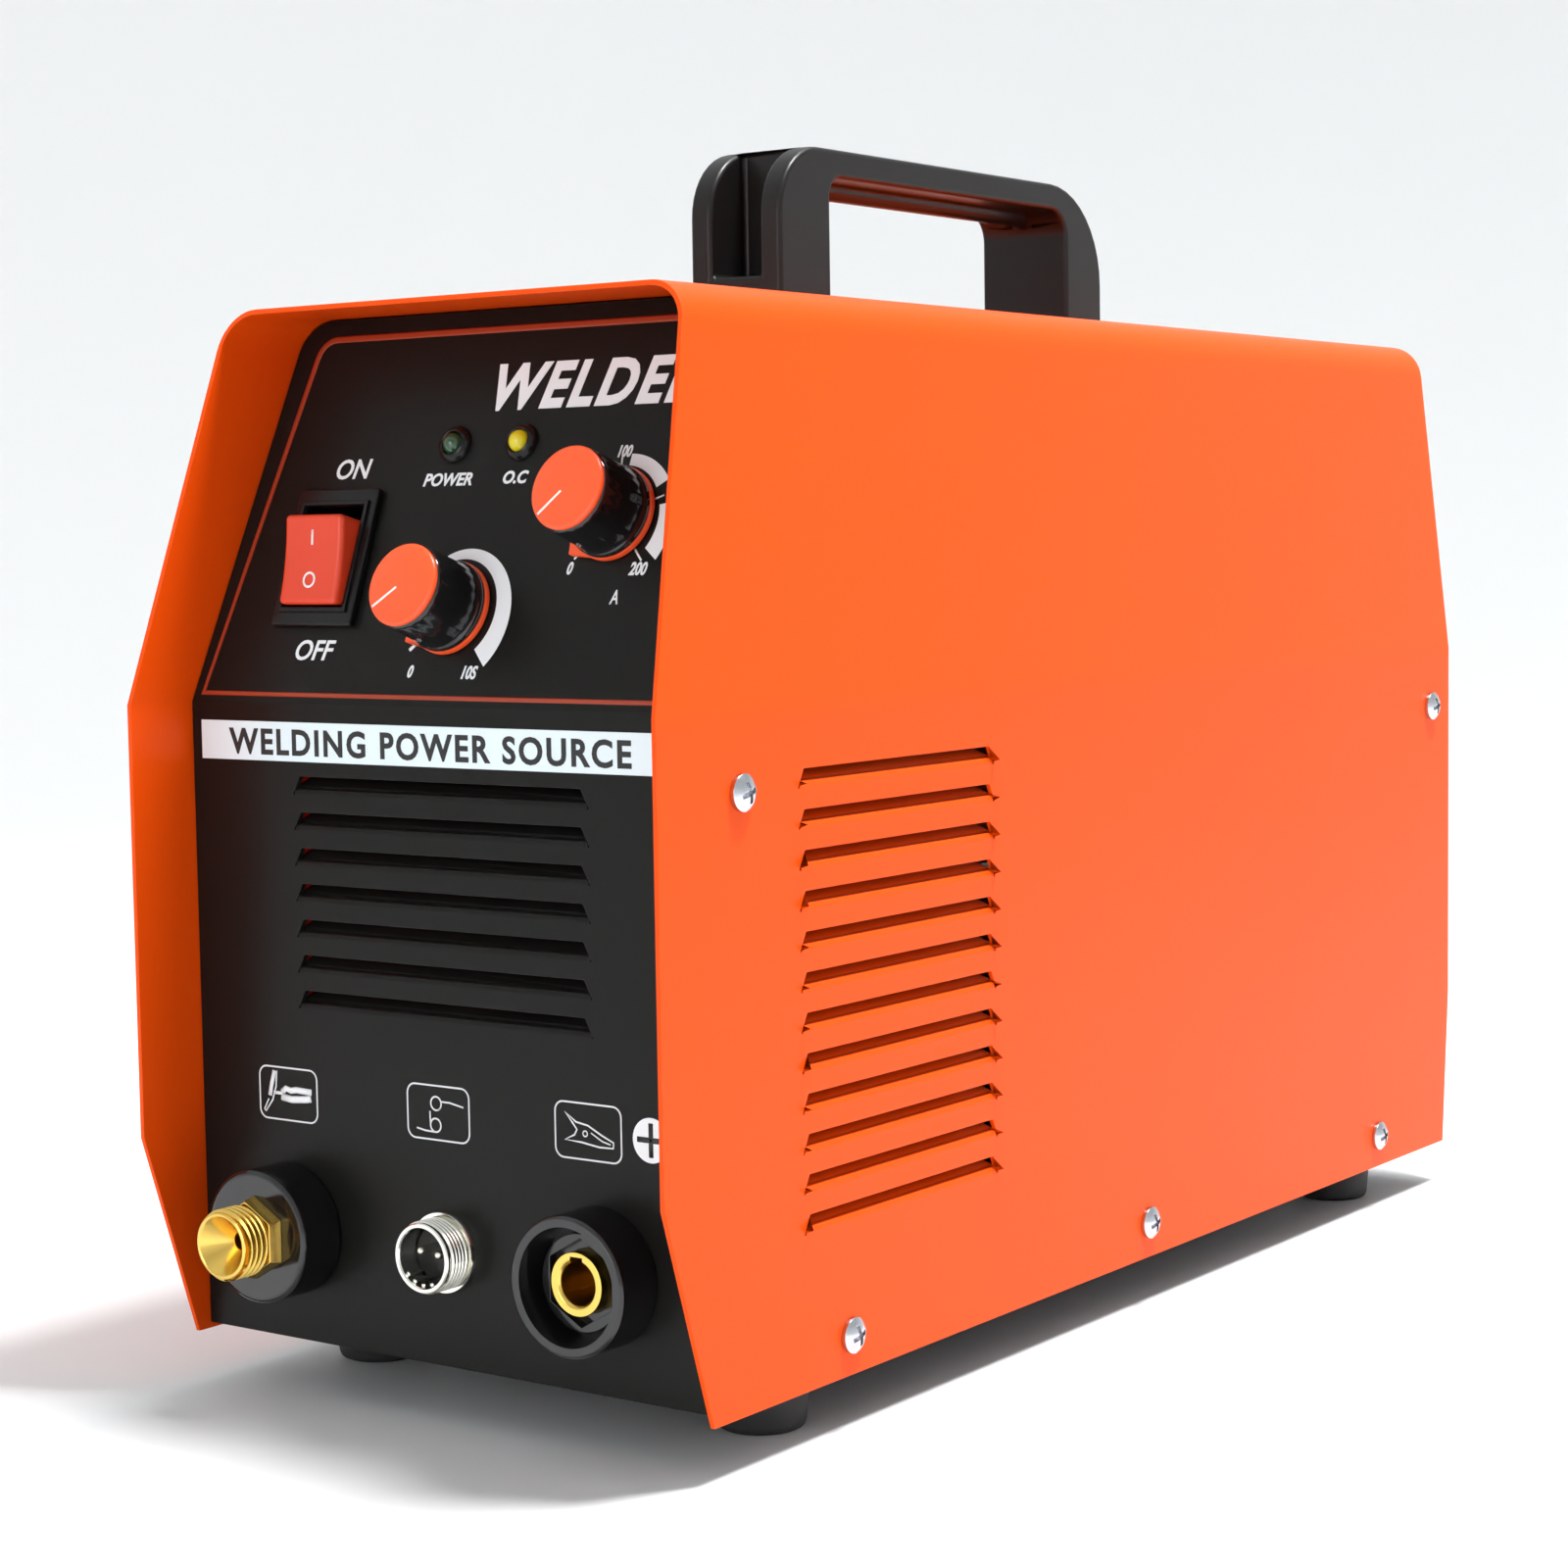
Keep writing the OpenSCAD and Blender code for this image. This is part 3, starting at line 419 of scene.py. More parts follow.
# %% One function for every finish
def place_group(tree, group, **inputs):
    """Place a shared effect in a material's node tree and set its inputs."""
    item = tree.nodes.new("ShaderNodeGroup")
    item.node_tree = group
    for name, value in inputs.items():
        socket = item.inputs[name.replace("_", " ")]
        if isinstance(value, bpy.types.NodeSocket):
            tree.links.new(value, socket)
        else:
            socket.default_value = value
    return item


finishes = {}


def finish(name, color, roughness, metallic=0.0, drift=0.08, patch=25.0, gloss=0.08,
           grain=None, worn=None, dust=0.0, sockets=None):
    """A finish with drifting colour and gloss, and, if asked, grain, worn edges and dust.

    grain holds scale, strength, depth and stretch, and worn holds colour, radius, amount.
    """
    material = bpy.data.materials.new(name)
    material.use_nodes = True
    tree = material.node_tree
    shader = tree.nodes["Principled BSDF"]
    shader.inputs["Metallic"].default_value = metallic
    for label, value in (sockets or {}).items():
        shader.inputs[label].default_value = value
    tone = place_group(tree, colour_drift, Color=(*color, 1), Amount=drift, Scale=patch)
    if worn:
        tone = place_group(tree, edge_wear, Color=tone.outputs[0], Worn_Color=(*worn[0], 1),
                           Radius=worn[1], Amount=worn[2])
    if dust:
        tone = place_group(tree, settled_dust, Color=tone.outputs[0], Amount=dust)
    tree.links.new(tone.outputs[0], shader.inputs["Base Color"])
    shine = place_group(tree, gloss_drift, Roughness=roughness, Amount=gloss,
                        Scale=patch * 1.7)
    tree.links.new(shine.outputs[0], shader.inputs["Roughness"])
    if grain:
        bumps = place_group(tree, fine_grain, Scale=grain[0], Strength=grain[1],
                            Depth=grain[2], Stretch=grain[3] if len(grain) > 3 else (1, 1, 1))
        tree.links.new(bumps.outputs[0], shader.inputs["Normal"])
    finishes[name] = material
    return material


# %% Sheet, plastic and rubber finishes
finish("orange_cover", (0.86, 0.077, 0.002), 0.38, drift=0.05, patch=9, gloss=0.06,
       grain=(1100, 0.10, 0.00006), worn=((0.95, 0.22, 0.07), 0.0005, 0.3),
       sockets={"Coat Weight": 0.04, "Coat Roughness": 0.14, "Specular IOR Level": 0.12})
finish("black_sheet", (0.0075, 0.0073, 0.0064), 0.36, drift=0.18, patch=14, gloss=0.08,
       grain=(2600, 0.12, 0.00005), worn=((0.05, 0.05, 0.047), 0.0004, 0.5), dust=0.03,
       sockets={"Specular IOR Level": 0.16})
finish("black_handle", (0.0075, 0.0073, 0.007), 0.34, drift=0.15, patch=30, gloss=0.10,
       grain=(3200, 0.16, 0.00006), worn=((0.04, 0.04, 0.038), 0.0009, 0.35), dust=0.01,
       sockets={"Specular IOR Level": 0.30})
finish("black_plastic", (0.0065, 0.0064, 0.0063), 0.24, drift=0.15, patch=45, gloss=0.08,
       grain=(3600, 0.06, 0.00004), dust=0.015, sockets={"Specular IOR Level": 0.28})
finish("black_gloss", (0.007, 0.007, 0.0078), 0.13, drift=0.12, patch=40, gloss=0.06,
       grain=(700, 0.03, 0.00005), dust=0.015, sockets={"Coat Weight": 0.3,
                                                        "Coat Roughness": 0.06})
finish("red_rocker", (0.74, 0.055, 0.016), 0.34, drift=0.06, patch=60, gloss=0.07,
       grain=(2800, 0.06, 0.00004),
       sockets={"Subsurface Weight": 0.12, "Subsurface Scale": 0.002})
finish("orange_cap", (1.0, 0.098, 0.018), 0.32, drift=0.05, patch=60, gloss=0.06,
       grain=(2800, 0.05, 0.00004),
       sockets={"Subsurface Weight": 0.12, "Subsurface Scale": 0.002})
finish("rubber_feet", (0.02, 0.02, 0.02), 0.72, drift=0.2, patch=50, gloss=0.12,
       grain=(1800, 0.35, 0.0001), dust=0.08)
finish("hose_rubber", (0.028, 0.027, 0.026), 0.6, drift=0.2, patch=40, gloss=0.1,
       grain=(1500, 0.3, 0.0001))
finish("chip_black", (0.018, 0.018, 0.018), 0.55, drift=0.15, patch=80, gloss=0.1,
       grain=(3000, 0.3, 0.00006))
finish("capacitor_sleeve", (0.02, 0.035, 0.11), 0.28, drift=0.1, patch=40,
       grain=(600, 0.1, 0.0001))
print("sheet, plastic and rubber:", sorted(finishes))

# %% Metal finishes
finish("zinc_screws", (0.58, 0.60, 0.64), 0.15, metallic=1.0, drift=0.14, patch=260,
       gloss=0.12, grain=(1500, 0.10, 0.00005))
finish("nickel", (0.80, 0.79, 0.72), 0.14, metallic=1.0, drift=0.08, patch=150, gloss=0.08,
       grain=(1500, 0.05, 0.00004))
finish("brass", (0.83, 0.56, 0.13), 0.20, metallic=1.0, drift=0.10, patch=160, gloss=0.10,
       grain=(2400, 0.10, 0.00004, (1, 5, 1)))
finish("bright_steel", (0.60, 0.60, 0.60), 0.26, metallic=1.0, drift=0.08, patch=90,
       gloss=0.12, grain=(1800, 0.15, 0.00005, (1, 6, 1)))
finish("aluminium", (0.72, 0.73, 0.75), 0.32, metallic=1.0, drift=0.08, patch=60, gloss=0.1,
       grain=(1200, 0.2, 0.00006, (1, 0.05, 1)))
finish("zinc_sheet", (0.58, 0.60, 0.62), 0.38, metallic=1.0, drift=0.28, patch=110,
       gloss=0.2, grain=(260, 0.08, 0.0001))
finish("ferrite", (0.05, 0.05, 0.055), 0.62, drift=0.2, patch=120, gloss=0.1,
       grain=(1600, 0.4, 0.00012))
print(len(finishes), "finishes with the metals")

# %% Wound copper, coil tape, boards and lenses
copper = finish("copper_wire", (0.62, 0.27, 0.10), 0.28, metallic=1.0, drift=0.1, patch=90)
tape = finish("coil_tape", (0.05, 0.09, 0.26), 0.42, drift=0.12, patch=60)
for material, pitch, depth in ((copper, 2600.0, 0.0004), (tape, 700.0, 0.00008)):
    tree = material.node_tree
    turns = place_group(tree, wound_wire, Scale=pitch, Depth=depth)
    tree.links.new(turns.outputs["Normal"], tree.nodes["Principled BSDF"].inputs["Normal"])

board = finish("circuit_board", (0.012, 0.10, 0.045), 0.30, drift=0.2, patch=70)
tree = board.node_tree
shader = tree.nodes["Principled BSDF"]
place = put(tree, "TexCoord")
tracks = put(tree, "TexVoronoi", {"distance": "MANHATTAN", "feature": "F1"},
             Vector=place.outputs["Object"], Scale=160.0)
lines = put(tree, "MapRange", Value=tracks.outputs["Distance"], i1=0.5, i2=0.56, i3=0.0, i4=1.0)
lacquer = shader.inputs["Base Color"].links[0].from_socket
tree.links.new(blend(tree, lines.outputs[0], lacquer, (0.03, 0.20, 0.09, 1)),
               shader.inputs["Base Color"])

finish("green_lens", (0.010, 0.060, 0.022), 0.10, drift=0.1, patch=300, gloss=0.03,
       grain=(500, 0.03, 0.0001), sockets={"Coat Weight": 0.6, "Coat Roughness": 0.04})
finish("yellow_lens", (0.74, 0.62, 0.010), 0.16, drift=0.06, patch=300, gloss=0.04,
       grain=(500, 0.03, 0.0001),
       sockets={"Coat Weight": 0.4, "Coat Roughness": 0.05, "Subsurface Weight": 0.3,
                "Subsurface Scale": 0.001})

# %% Printing inks and foils
finish("white_ink", (0.84, 0.86, 0.88), 0.42, drift=0.08, patch=70, gloss=0.06,
       grain=(2600, 0.1, 0.00004))
finish("black_ink", (0.009, 0.009, 0.010), 0.45, drift=0.1, patch=60, gloss=0.06,
       grain=(2600, 0.1, 0.00004))
finish("orange_ink", (0.36, 0.042, 0.012), 0.42, drift=0.10, patch=40, gloss=0.06,
       grain=(2600, 0.1, 0.00004))
finish("silver_foil", (0.76, 0.86, 0.90), 0.34, drift=0.04, patch=12, gloss=0.06,
       grain=(1800, 0.05, 0.00004, (0.1, 1, 1)), sockets={"Metallic": 0.1})
print(len(finishes), "finishes")

# %% Every CAD node takes the finish of its slot
slot_of = {row["node"]: row["material_slot"] for row in frame["record"]["subparts"]}
for node, slot_name in slot_of.items():
    for mesh_slot in nodes[node].material_slots:
        mesh_slot.material = finishes[slot_name]
body_of = {n: b for b, ns in frame["record"]["behaviour"]["bodies"].items() for n in ns}


def dress(piece, name, finish_name, body="case", stands_for=()):
    """Name a finished piece, give it its finish, and let it ride on its body."""
    piece.name = piece.data.name = name
    piece.data.materials.clear()
    piece.data.materials.append(finishes[finish_name])
    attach(piece, body)
    if stands_for:
        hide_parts(*stands_for)
    print(f"{name}: {len(piece.data.polygons)} faces")
    return piece


def stand_in(piece, node, name=None):
    """Dress a piece that stands for one CAD node with that node's slot and body."""
    return dress(piece, name or node + "_detailed", slot_of[node], body_of[node],
                 (node,))


print(len(slot_of), "nodes wear", len(set(slot_of.values())), "finishes")

# %% [markdown]
# ## The cover and the front panel
# The cover is one sheet, folded over the machine, with louvres pressed into each side.
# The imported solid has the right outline, so a copy of it is welded and refined. Cuts
# just above and below the fold where the sides start to lean in, and one just under the
# bend to the roof, keep each change of shading in a narrow band, as on a soft bend.
# The front panel has one bend, between the upright part and the sloping control face,
# which gets a small radius. The louvre flaps of both are pushed further in than in the
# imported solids, which gives each louvre the dark band that a deep flap has. The cut
# edges lose a hair's breadth, so they catch the light.

# %% Bends and louvres of the cover
side_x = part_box("cover")[1].x
hip_up, hip_band = 157.5 * MM, 2.5 * MM
under_roof_bend = cad_high.z - 53 * MM
# How deep the flap's tip and then its fold lie in mm, and the scale that draws each in
SIDE_FLAP = ((3.5, 5.0, 0.955), (0.6, 1.0, 0.979))


def on_side_flap(v, near, far):
    """Louvre vertices of the sides between two depths (mm) behind the sheet's face."""
    return (-151 * MM < v.co.y < -72 * MM and 30 * MM < v.co.z < 155 * MM
            and near * MM < side_x - abs(v.co.x) < far * MM)


cover = copy_of("cover")
edit(cover)
for height in (hip_up - hip_band, hip_up + hip_band, under_roof_bend):
    bpy.ops.mesh.select_all(action="SELECT")
    bpy.ops.mesh.bisect(plane_co=(0, 0, height), plane_no=(0, 0, 1))
for near, far, factor in SIDE_FLAP:
    print("side louvre points:", choose("VERT", lambda v: on_side_flap(v, near, far)))
    bpy.ops.transform.resize(value=(factor, 1, 1), center_override=(0, 0, 0))
done()
round_edges(cover, 0.22 * MM, 2, 45)
stand_in(cover, "cover")

# %% Bend and louvres of the front panel
# The same two depths in mm, and how far each is pushed back
FRONT_FLAP = ((3.6, 5.2, 2.4), (0.6, 1.0, 1.2))


def is_panel_bend(edge):
    """The long edges across the panel where the control face starts."""
    a, b = ends(edge)
    return (abs(a.z - slope_foot) < 0.6 * MM and abs(b.z - slope_foot) < 0.6 * MM
            and abs(a.x - b.x) > 60 * MM and edge.calc_face_angle(0) > math.radians(8))


def on_front_flap(v, near, far):
    """Louvre vertices of the panel between two depths (mm) behind its face."""
    return (abs(v.co.x) < 43 * MM and 60 * MM < v.co.z < 145 * MM
            and near * MM < v.co.y - panel_y < far * MM)


panel = copy_of("front_panel")
edit(panel)
print("panel bends:", choose("EDGE", is_panel_bend))
bpy.ops.mesh.bevel(offset=1.2 * MM, segments=4, affect="EDGES", clamp_overlap=False,
                   loop_slide=False)
for near, far, push in FRONT_FLAP:
    print("front louvre points:", choose("VERT", lambda v: on_front_flap(v, near, far)))
    bpy.ops.transform.translate(value=(0, push * MM, 0))
done()
round_edges(panel, 0.2 * MM, 2, 45)
stand_in(panel, "front_panel")

# %% [markdown]
# ## Handle, feet, sheet parts and fittings
# These solids have the right shape and only need their edges eased. The moulded
# handle and the rocker have generous radii, which show as long soft highlights. The
# sheet parts and screws only lose their burr.

# %% Easing the edges of plain solids
for node, width, segments in (("handle", 1.3, 4), ("feet", 0.8, 3), ("base_tray", 0.2, 2),
                              ("rear_panel", 0.2, 2), ("cover_screws", 0.12, 2),
                              ("foot_screws", 0.12, 2), ("fan_screws", 0.12, 2),
                              ("switch_rocker", 1.35, 5), ("outlet_housing", 0.7, 3),
                              ("power_socket_housing", 0.18, 2),
                              ("power_socket_insert", 0.25, 2), ("earth_nuts", 0.3, 2),
                              ("gas_inlet", 0.25, 2), ("fan_frame", 0.4, 2)):
    stand_in(round_edges(copy_of(node), width * MM, segments, 30), node)

# %% [markdown]
# ## The rocker switch
# A snap-in switch has a shallow bezel with a sunk opening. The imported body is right,
# and a raised frame round the opening gives the double edge that such bezels have.
# The marks on the rocker are printed in white and sit on its hollow face.

# %% The switch bezel
SWITCH = (-40.0, 33.5)
ROCKER_TOP, DISH_DEPTH, DISH_RADIUS, ROCKER_LEAN = 11.0, 0.8, 70.0, 11.0
bezel = round_edges(copy_of("switch_housing"), 0.5 * MM, 3, 30)
stand_in(bezel, "switch_housing")
frame_ring = block((20.6, 26.2, 0.9), at=(0, 0, 2.2))
edit(frame_ring)
choose("FACE", lambda f: abs(f.normal.z) > 0.9)
bpy.ops.mesh.inset(thickness=1.15 * MM)
bpy.ops.mesh.bridge_edge_loops()
done()
round_edges(carry(frame_ring, on(CONTROLS, *SWITCH)), 0.25 * MM, 2, 40)
dress(frame_ring, "switch_inner_frame", "black_plastic")


# %% Flat printed lines: a curve becomes a ribbon of ink
def stroke(points, width, closed=False, thick=0.10):
    """A printed line through points (x, y) in mm, half sunk in the surface."""
    bpy.ops.curve.primitive_bezier_curve_add()
    line = bpy.context.object
    curve = line.data
    curve.splines.clear()
    spline = curve.splines.new("POLY")
    spline.points.add(len(points) - 1)
    for item, point in zip(spline.points, points):
        item.co = (point[0] * MM, point[1] * MM, 0, 1)
    spline.use_cyclic_u = closed
    curve.dimensions = "3D"
    curve.bevel_depth = width / 2 * MM
    curve.bevel_resolution = 1
    curve.use_fill_caps = True
    only(line)
    bpy.ops.object.convert(target="MESH")
    line = bpy.context.object
    line.data.transform(Matrix.Diagonal((1, 1, thick / (width / 2), 1)))
    return tidy(line, 0.002)


def arc(x, y, r, start, stop, steps=20):
    """Points (x, y) in mm along an arc. The angles are in degrees."""
    return [(x + r * math.cos(math.radians(start + (stop - start) * i / steps)),
             y + r * math.sin(math.radians(start + (stop - start) * i / steps)))
            for i in range(steps + 1)]


CAPITAL_SHARE = 0.72  # how much of the type size a capital letter fills


def letters(words, height, at, bold=0.0, slant=0.0, spacing=1.0, align="CENTER", narrow=1.0,
            span=None):
    """Words as a thin mesh, drawn flat with the middle of their height at a place."""
    bpy.ops.object.text_add()
    text = bpy.context.object
    text.data.body = words
    text.data.size = height / CAPITAL_SHARE * MM
    text.data.align_x = align
    text.data.offset = bold * MM
    text.data.shear = slant
    text.data.space_character = spacing
    text.data.extrude = 0.05 * MM
    text.data.resolution_u = 4
    only(text)
    bpy.ops.object.convert(target="MESH")
    text = bpy.context.object
    if span:
        narrow = span * MM / text.dimensions.x
    text.data.transform(Matrix.Translation((at[0] * MM, (at[1] - height / 2) * MM, 0))
                        @ Matrix.Diagonal((narrow, 1, 1, 1)))
    return tidy(text, 0.002)


# %% The marks on the rocker
trunnion = on(CONTROLS, *SWITCH, -4.2) @ Matrix.Rotation(math.radians(ROCKER_LEAN), 4, "X")
marks = [stroke([(0, 3.2), (0, 6.6)], 0.65, thick=0.16),
         stroke(arc(0, -4.6, 1.6, 0, 345, 24), 0.62, closed=True, thick=0.16)]
for mark, up in zip(marks, (4.9, -4.6)):
    rise = DISH_RADIUS - math.sqrt(DISH_RADIUS ** 2 - up ** 2)
    dish_z = ROCKER_TOP - DISH_DEPTH + rise
    mark.data.transform(Matrix.Translation((0, up * MM, dish_z * MM))
                        @ Matrix.Rotation(math.asin(up / DISH_RADIUS), 4, "X")
                        @ Matrix.Translation((0, -up * MM, 0)))
marks = carry(join(*marks), trunnion)
dress(marks, "rocker_marks", "white_ink", body="rocker")

# %% [markdown]
# ## Knobs
# Each knob is a glossy black turned body with a press-in coloured cap, and a coloured
# pointer ring under it. A lathe gives the body its stepped foot and rounded shoulder.
# The side is not quite smooth on the real ones: shallow flutes run up it, and they
# break up its reflections. Of every six columns of points round the side, three are
# drawn in a little for them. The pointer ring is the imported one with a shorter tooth.

# %% Turning a knob
# Each knob's place on the control face and the way that its pointer looks, in degrees
KNOBS = {"current": ((39.8, 42.6), 225.0), "slope": ((0.0, 21.7), 217.0)}
FLUTE_PITCH = 15
TOP_OF_CAP = 17.66


def knob_body():
    """The black body: turned, then fluted. Its axis is Z, its pointer looks along X."""
    body = lathe([(8.2, 2.0), (10.1, 2.0), (10.2, 2.3), (10.2, 3.2), (9.95, 3.55), (9.75, 3.9),
                  (9.72, 5.0), (9.5, 15.2), (9.3, 15.9), (9.0, 16.3), (8.6, 16.5), (3.2, 16.5),
                  (3.2, 4.7), (8.2, 4.7), (8.2, 2.0)], steps=144)
    edit(body)

    def in_flute(v):
        turn = math.degrees(math.atan2(v.co.y, v.co.x)) % FLUTE_PITCH
        reach = math.hypot(v.co.x, v.co.y)
        return 5 * MM < v.co.z < 15.5 * MM and reach > 9.3 * MM and 4.9 < turn < 10.1

    choose("VERT", in_flute)
    bpy.ops.transform.resize(value=(0.991, 0.991, 1), center_override=(0, 0, 0))
    return smooth(done(), 38)


def knob_cap():
    """The coloured cap: a disc with a rounded rim and a slightly raised middle."""
    cap = lathe([(0, 16.5), (9.15, 16.5), (9.2, 16.9), (9.05, 17.25), (8.75, 17.5), (8.3, 17.62),
                 (4, 17.7), (0, 17.72)], steps=96)
    return smooth(cap, 50)


def pointer_ring(name, turned):
    """The ring under a knob, with its pointer drawn in to a small tooth."""
    ring = copy_of(name + "_pointer_ring")
    back = turned.inverted()
    edit(ring)
    choose("VERT", lambda v: (back @ v.co).xy.length > 12 * MM)
    bpy.ops.transform.translate(value=turned.to_3x3() @ Vector((-1.3 * MM, 0, 0)))
    done()
    return round_edges(ring, 0.2 * MM, 2, 30)


for name, (spot, pointer) in KNOBS.items():
    turned = on(CONTROLS, *spot) @ Matrix.Rotation(math.radians(pointer), 4, "Z")
    stand_in(pointer_ring(name, turned), name + "_pointer_ring")
    body, cap = carry(knob_body(), turned), carry(knob_cap(), turned)
    stand_in(body, name + "_knob", name + "_knob_body")
    stand_in(cap, name + "_knob_cap", name + "_knob_top")
    line = carry(stroke([(1.3, 0), (8.4, 0)], 0.62, thick=0.14),
                 turned @ Matrix.Translation((0, 0, TOP_OF_CAP * MM)))
    dress(line, name + "_knob_line", "white_ink", body=name + "_dial")

# %% [markdown]
# ## Scales and lettering
# All the printing is modelled as very thin relief, because a painted pattern would
# need an image or a long list of shapes in a material. Curved scales start as a strip
# of quads between two arcs, one for each edge, so a scale can grow wider along its
# length, as the ones on the real panel do.


# %% Curved scales
def crescent(x, y, start, stop, inner, outer, steps=28):
    """A band between two arcs. Each radius runs from its first value to its last."""
    shares = [i / steps for i in range(steps + 1)]

    def rim(first, last):
        points = []
        for share in shares:
            turn = math.radians(start + (stop - start) * share)
            radius = first + (last - first) * share
            points.append((radius * math.cos(turn) + x, radius * math.sin(turn) + y, 0))
        return points

    band = outline(rim(*outer) + rim(*inner)[::-1], closed=True)
    edit(band)
    bpy.ops.mesh.select_all(action="SELECT")
    bpy.ops.mesh.extrude_region_move(TRANSFORM_OT_translate={"value": (0, 0, 0.06 * MM)})
    bpy.ops.mesh.select_all(action="SELECT")
    bpy.ops.mesh.normals_make_consistent(inside=False)
    bpy.ops.mesh.quads_convert_to_tris()
    return done()


def tick(x, y, angle, near, far, width):
    """A short line that points at a knob's middle, between two radii."""
    turn = math.radians(angle)
    return stroke([(x + near * math.cos(turn), y + near * math.sin(turn)),
                   (x + far * math.cos(turn), y + far * math.sin(turn))], width)


(cx, cy), (sx, sy) = KNOBS["current"][0], KNOBS["slope"][0]
scales = [crescent(sx, sy, 112, -47, (11.4, 12.2), (13.2, 17.4), 40),
          crescent(cx, cy, 86, 33, (11.1, 11.0), (13.7, 14.4)),
          crescent(cx, cy, 11, -38, (11.2, 12.0), (14.8, 16.2))]
scales += [tick(sx, sy, 222, 11.4, 13.8, 0.9), tick(cx, cy, 227, 10.9, 13.2, 0.5),
           tick(cx, cy, 20, 9.5, 12.4, 0.4), tick(cx, cy, 312, 10.2, 13.6, 0.5),
           tick(cx, cy, 97, 11.4, 13.2, 0.5)]
scales = carry(join(*scales), on(CONTROLS, 0, 0, 0.02))
dress(scales, "dial_scales", "white_ink")

# %% Dial numbers and words on the control face
words = [letters("ON", 4.7, (-39.3, 55.0), bold=0.10, slant=0.18),
         letters("OFF", 4.7, (-39.0, 12.3), bold=0.10, slant=0.18),
         letters("POWER", 2.9, (-9.9, 51.8), bold=0.11, slant=0.2, span=14.2),
         letters("O.C", 2.8, (9.3, 51.9), bold=0.14, slant=0.2),
         letters("0", 2.7, (sx - 8.8, sy - 14.0), bold=0.12, slant=0.25, narrow=0.75),
         letters("10S", 2.9, (sx + 7.9, sy - 14.0), bold=0.12, slant=0.25, narrow=0.75),
         letters("0", 2.7, (cx - 9.8, cy - 11.6), bold=0.12, slant=0.25, narrow=0.75),
         letters("100", 2.6, (cx - 1.4, cy + 14.4), bold=0.12, slant=0.25, narrow=0.72),
         letters("150", 2.6, (cx + 15.2, cy + 5.4), bold=0.12, slant=0.25, narrow=0.72),
         letters("200", 2.8, (cx + 8.6, cy - 11.8), bold=0.12, slant=0.25, narrow=0.75),
         letters("A", 3.2, (cx + 4.0, cy - 18.0), bold=0.05, slant=0.12, narrow=0.7),
         letters("WELDER", 10.4, (-3.5, 73.2), bold=0.52, slant=0.26, spacing=1.16,
                 align="LEFT", narrow=0.93)]
words = carry(join(*words), on(CONTROLS, 0, 0, 0.04))
dress(words, "control_face_lettering", "white_ink")

# %% [markdown]
# ## Border line, label strip and pictograms
# A thin orange line runs round the control face with rounded upper corners. Below the
# bend, a silver strip carries spaced black capitals, here with plain wording. Small
# white outline pictograms stand over the outlets: a torch, a control lead, a work
# clamp, and a disc with a plus. They are drawn from simple strokes.

# %% The border line round the control face
left_line = [(-70.4, 1.8), (-58.2, 82.0)] + arc(-53.2, 81.9, 4.9, 172, 90, 8)
right_line = [(-x, y) for x, y in reversed(left_line)]
border = stroke(left_line + right_line, 1.7, closed=True, thick=0.07)
border = carry(border, on(CONTROLS, 0, 0, 0.0))
dress(border, "border_line", "orange_ink")

# %% The label strip below the bend
STRIP_UP = 149.0
strip = block((141.2, 8.8, 0.18), at=(0, STRIP_UP, 0.07))
round_edges(carry(strip, LOWER), 0.05 * MM, 1, 40)
dress(strip, "label_strip", "silver_foil")
strip_words = letters("WELDING POWER SOURCE", 5.7, (-3.6, STRIP_UP), bold=0.23, spacing=1.18,
                      span=116.0)
strip_words = carry(strip_words, on(LOWER, 0, 0, 0.17))
dress(strip_words, "label_lettering", "black_ink")


# %% Pictograms over the outlets
def rounded_frame(x0, y0, x1, y1, r):
    """Points of a rectangle with round corners."""
    return (arc(x1 - r, y1 - r, r, 0, 90, 6) + arc(x0 + r, y1 - r, r, 90, 180, 6)
            + arc(x0 + r, y0 + r, r, 180, 270, 6) + arc(x1 - r, y0 + r, r, 270, 360, 6))


thin = 0.42
drawn = [stroke(rounded_frame(x, 63.4, x + 17.8, 75.3, 2.2), thin, closed=True)
         for x in (-55.3, -10.2, 31.7)]
torch = [stroke([(-48.4, 69.6), (-47.2, 70.6), (-45.6, 70.2), (-43.9, 70.5), (-39.2, 70.3)], 1.5),
         stroke([(-48.6, 68.6), (-45.4, 68.2), (-41.0, 68.6), (-39.4, 68.9)], 1.7),
         stroke([(-51.0, 69.4), (-48.2, 69.4)], 0.8),
         stroke([(-50.6, 74.4), (-51.6, 71.2), (-52.2, 68.6)], 1.2),
         stroke([(-49.9, 74.4), (-50.2, 70.9), (-51.4, 67.6), (-53.6, 64.9)], thin),
         stroke([(-52.6, 67.8), (-54.0, 65.4), (-53.6, 64.9)], thin)]
lead = [stroke(arc(-1.9, 71.4, 1.5, 0, 345, 18), thin, closed=True),
        stroke([(-0.5, 71.9), (2.0, 71.9), (6.0, 71.2)], thin),
        stroke([(-0.6, 70.6), (-1.4, 69.9)], thin),
        stroke(arc(-2.1, 66.6, 1.5, 0, 345, 18), thin, closed=True),
        stroke([(-2.3, 65.1), (-5.2, 65.2), (-7.6, 65.6)], thin),
        stroke([(-3.6, 66.6), (-3.7, 69.6)], thin)]
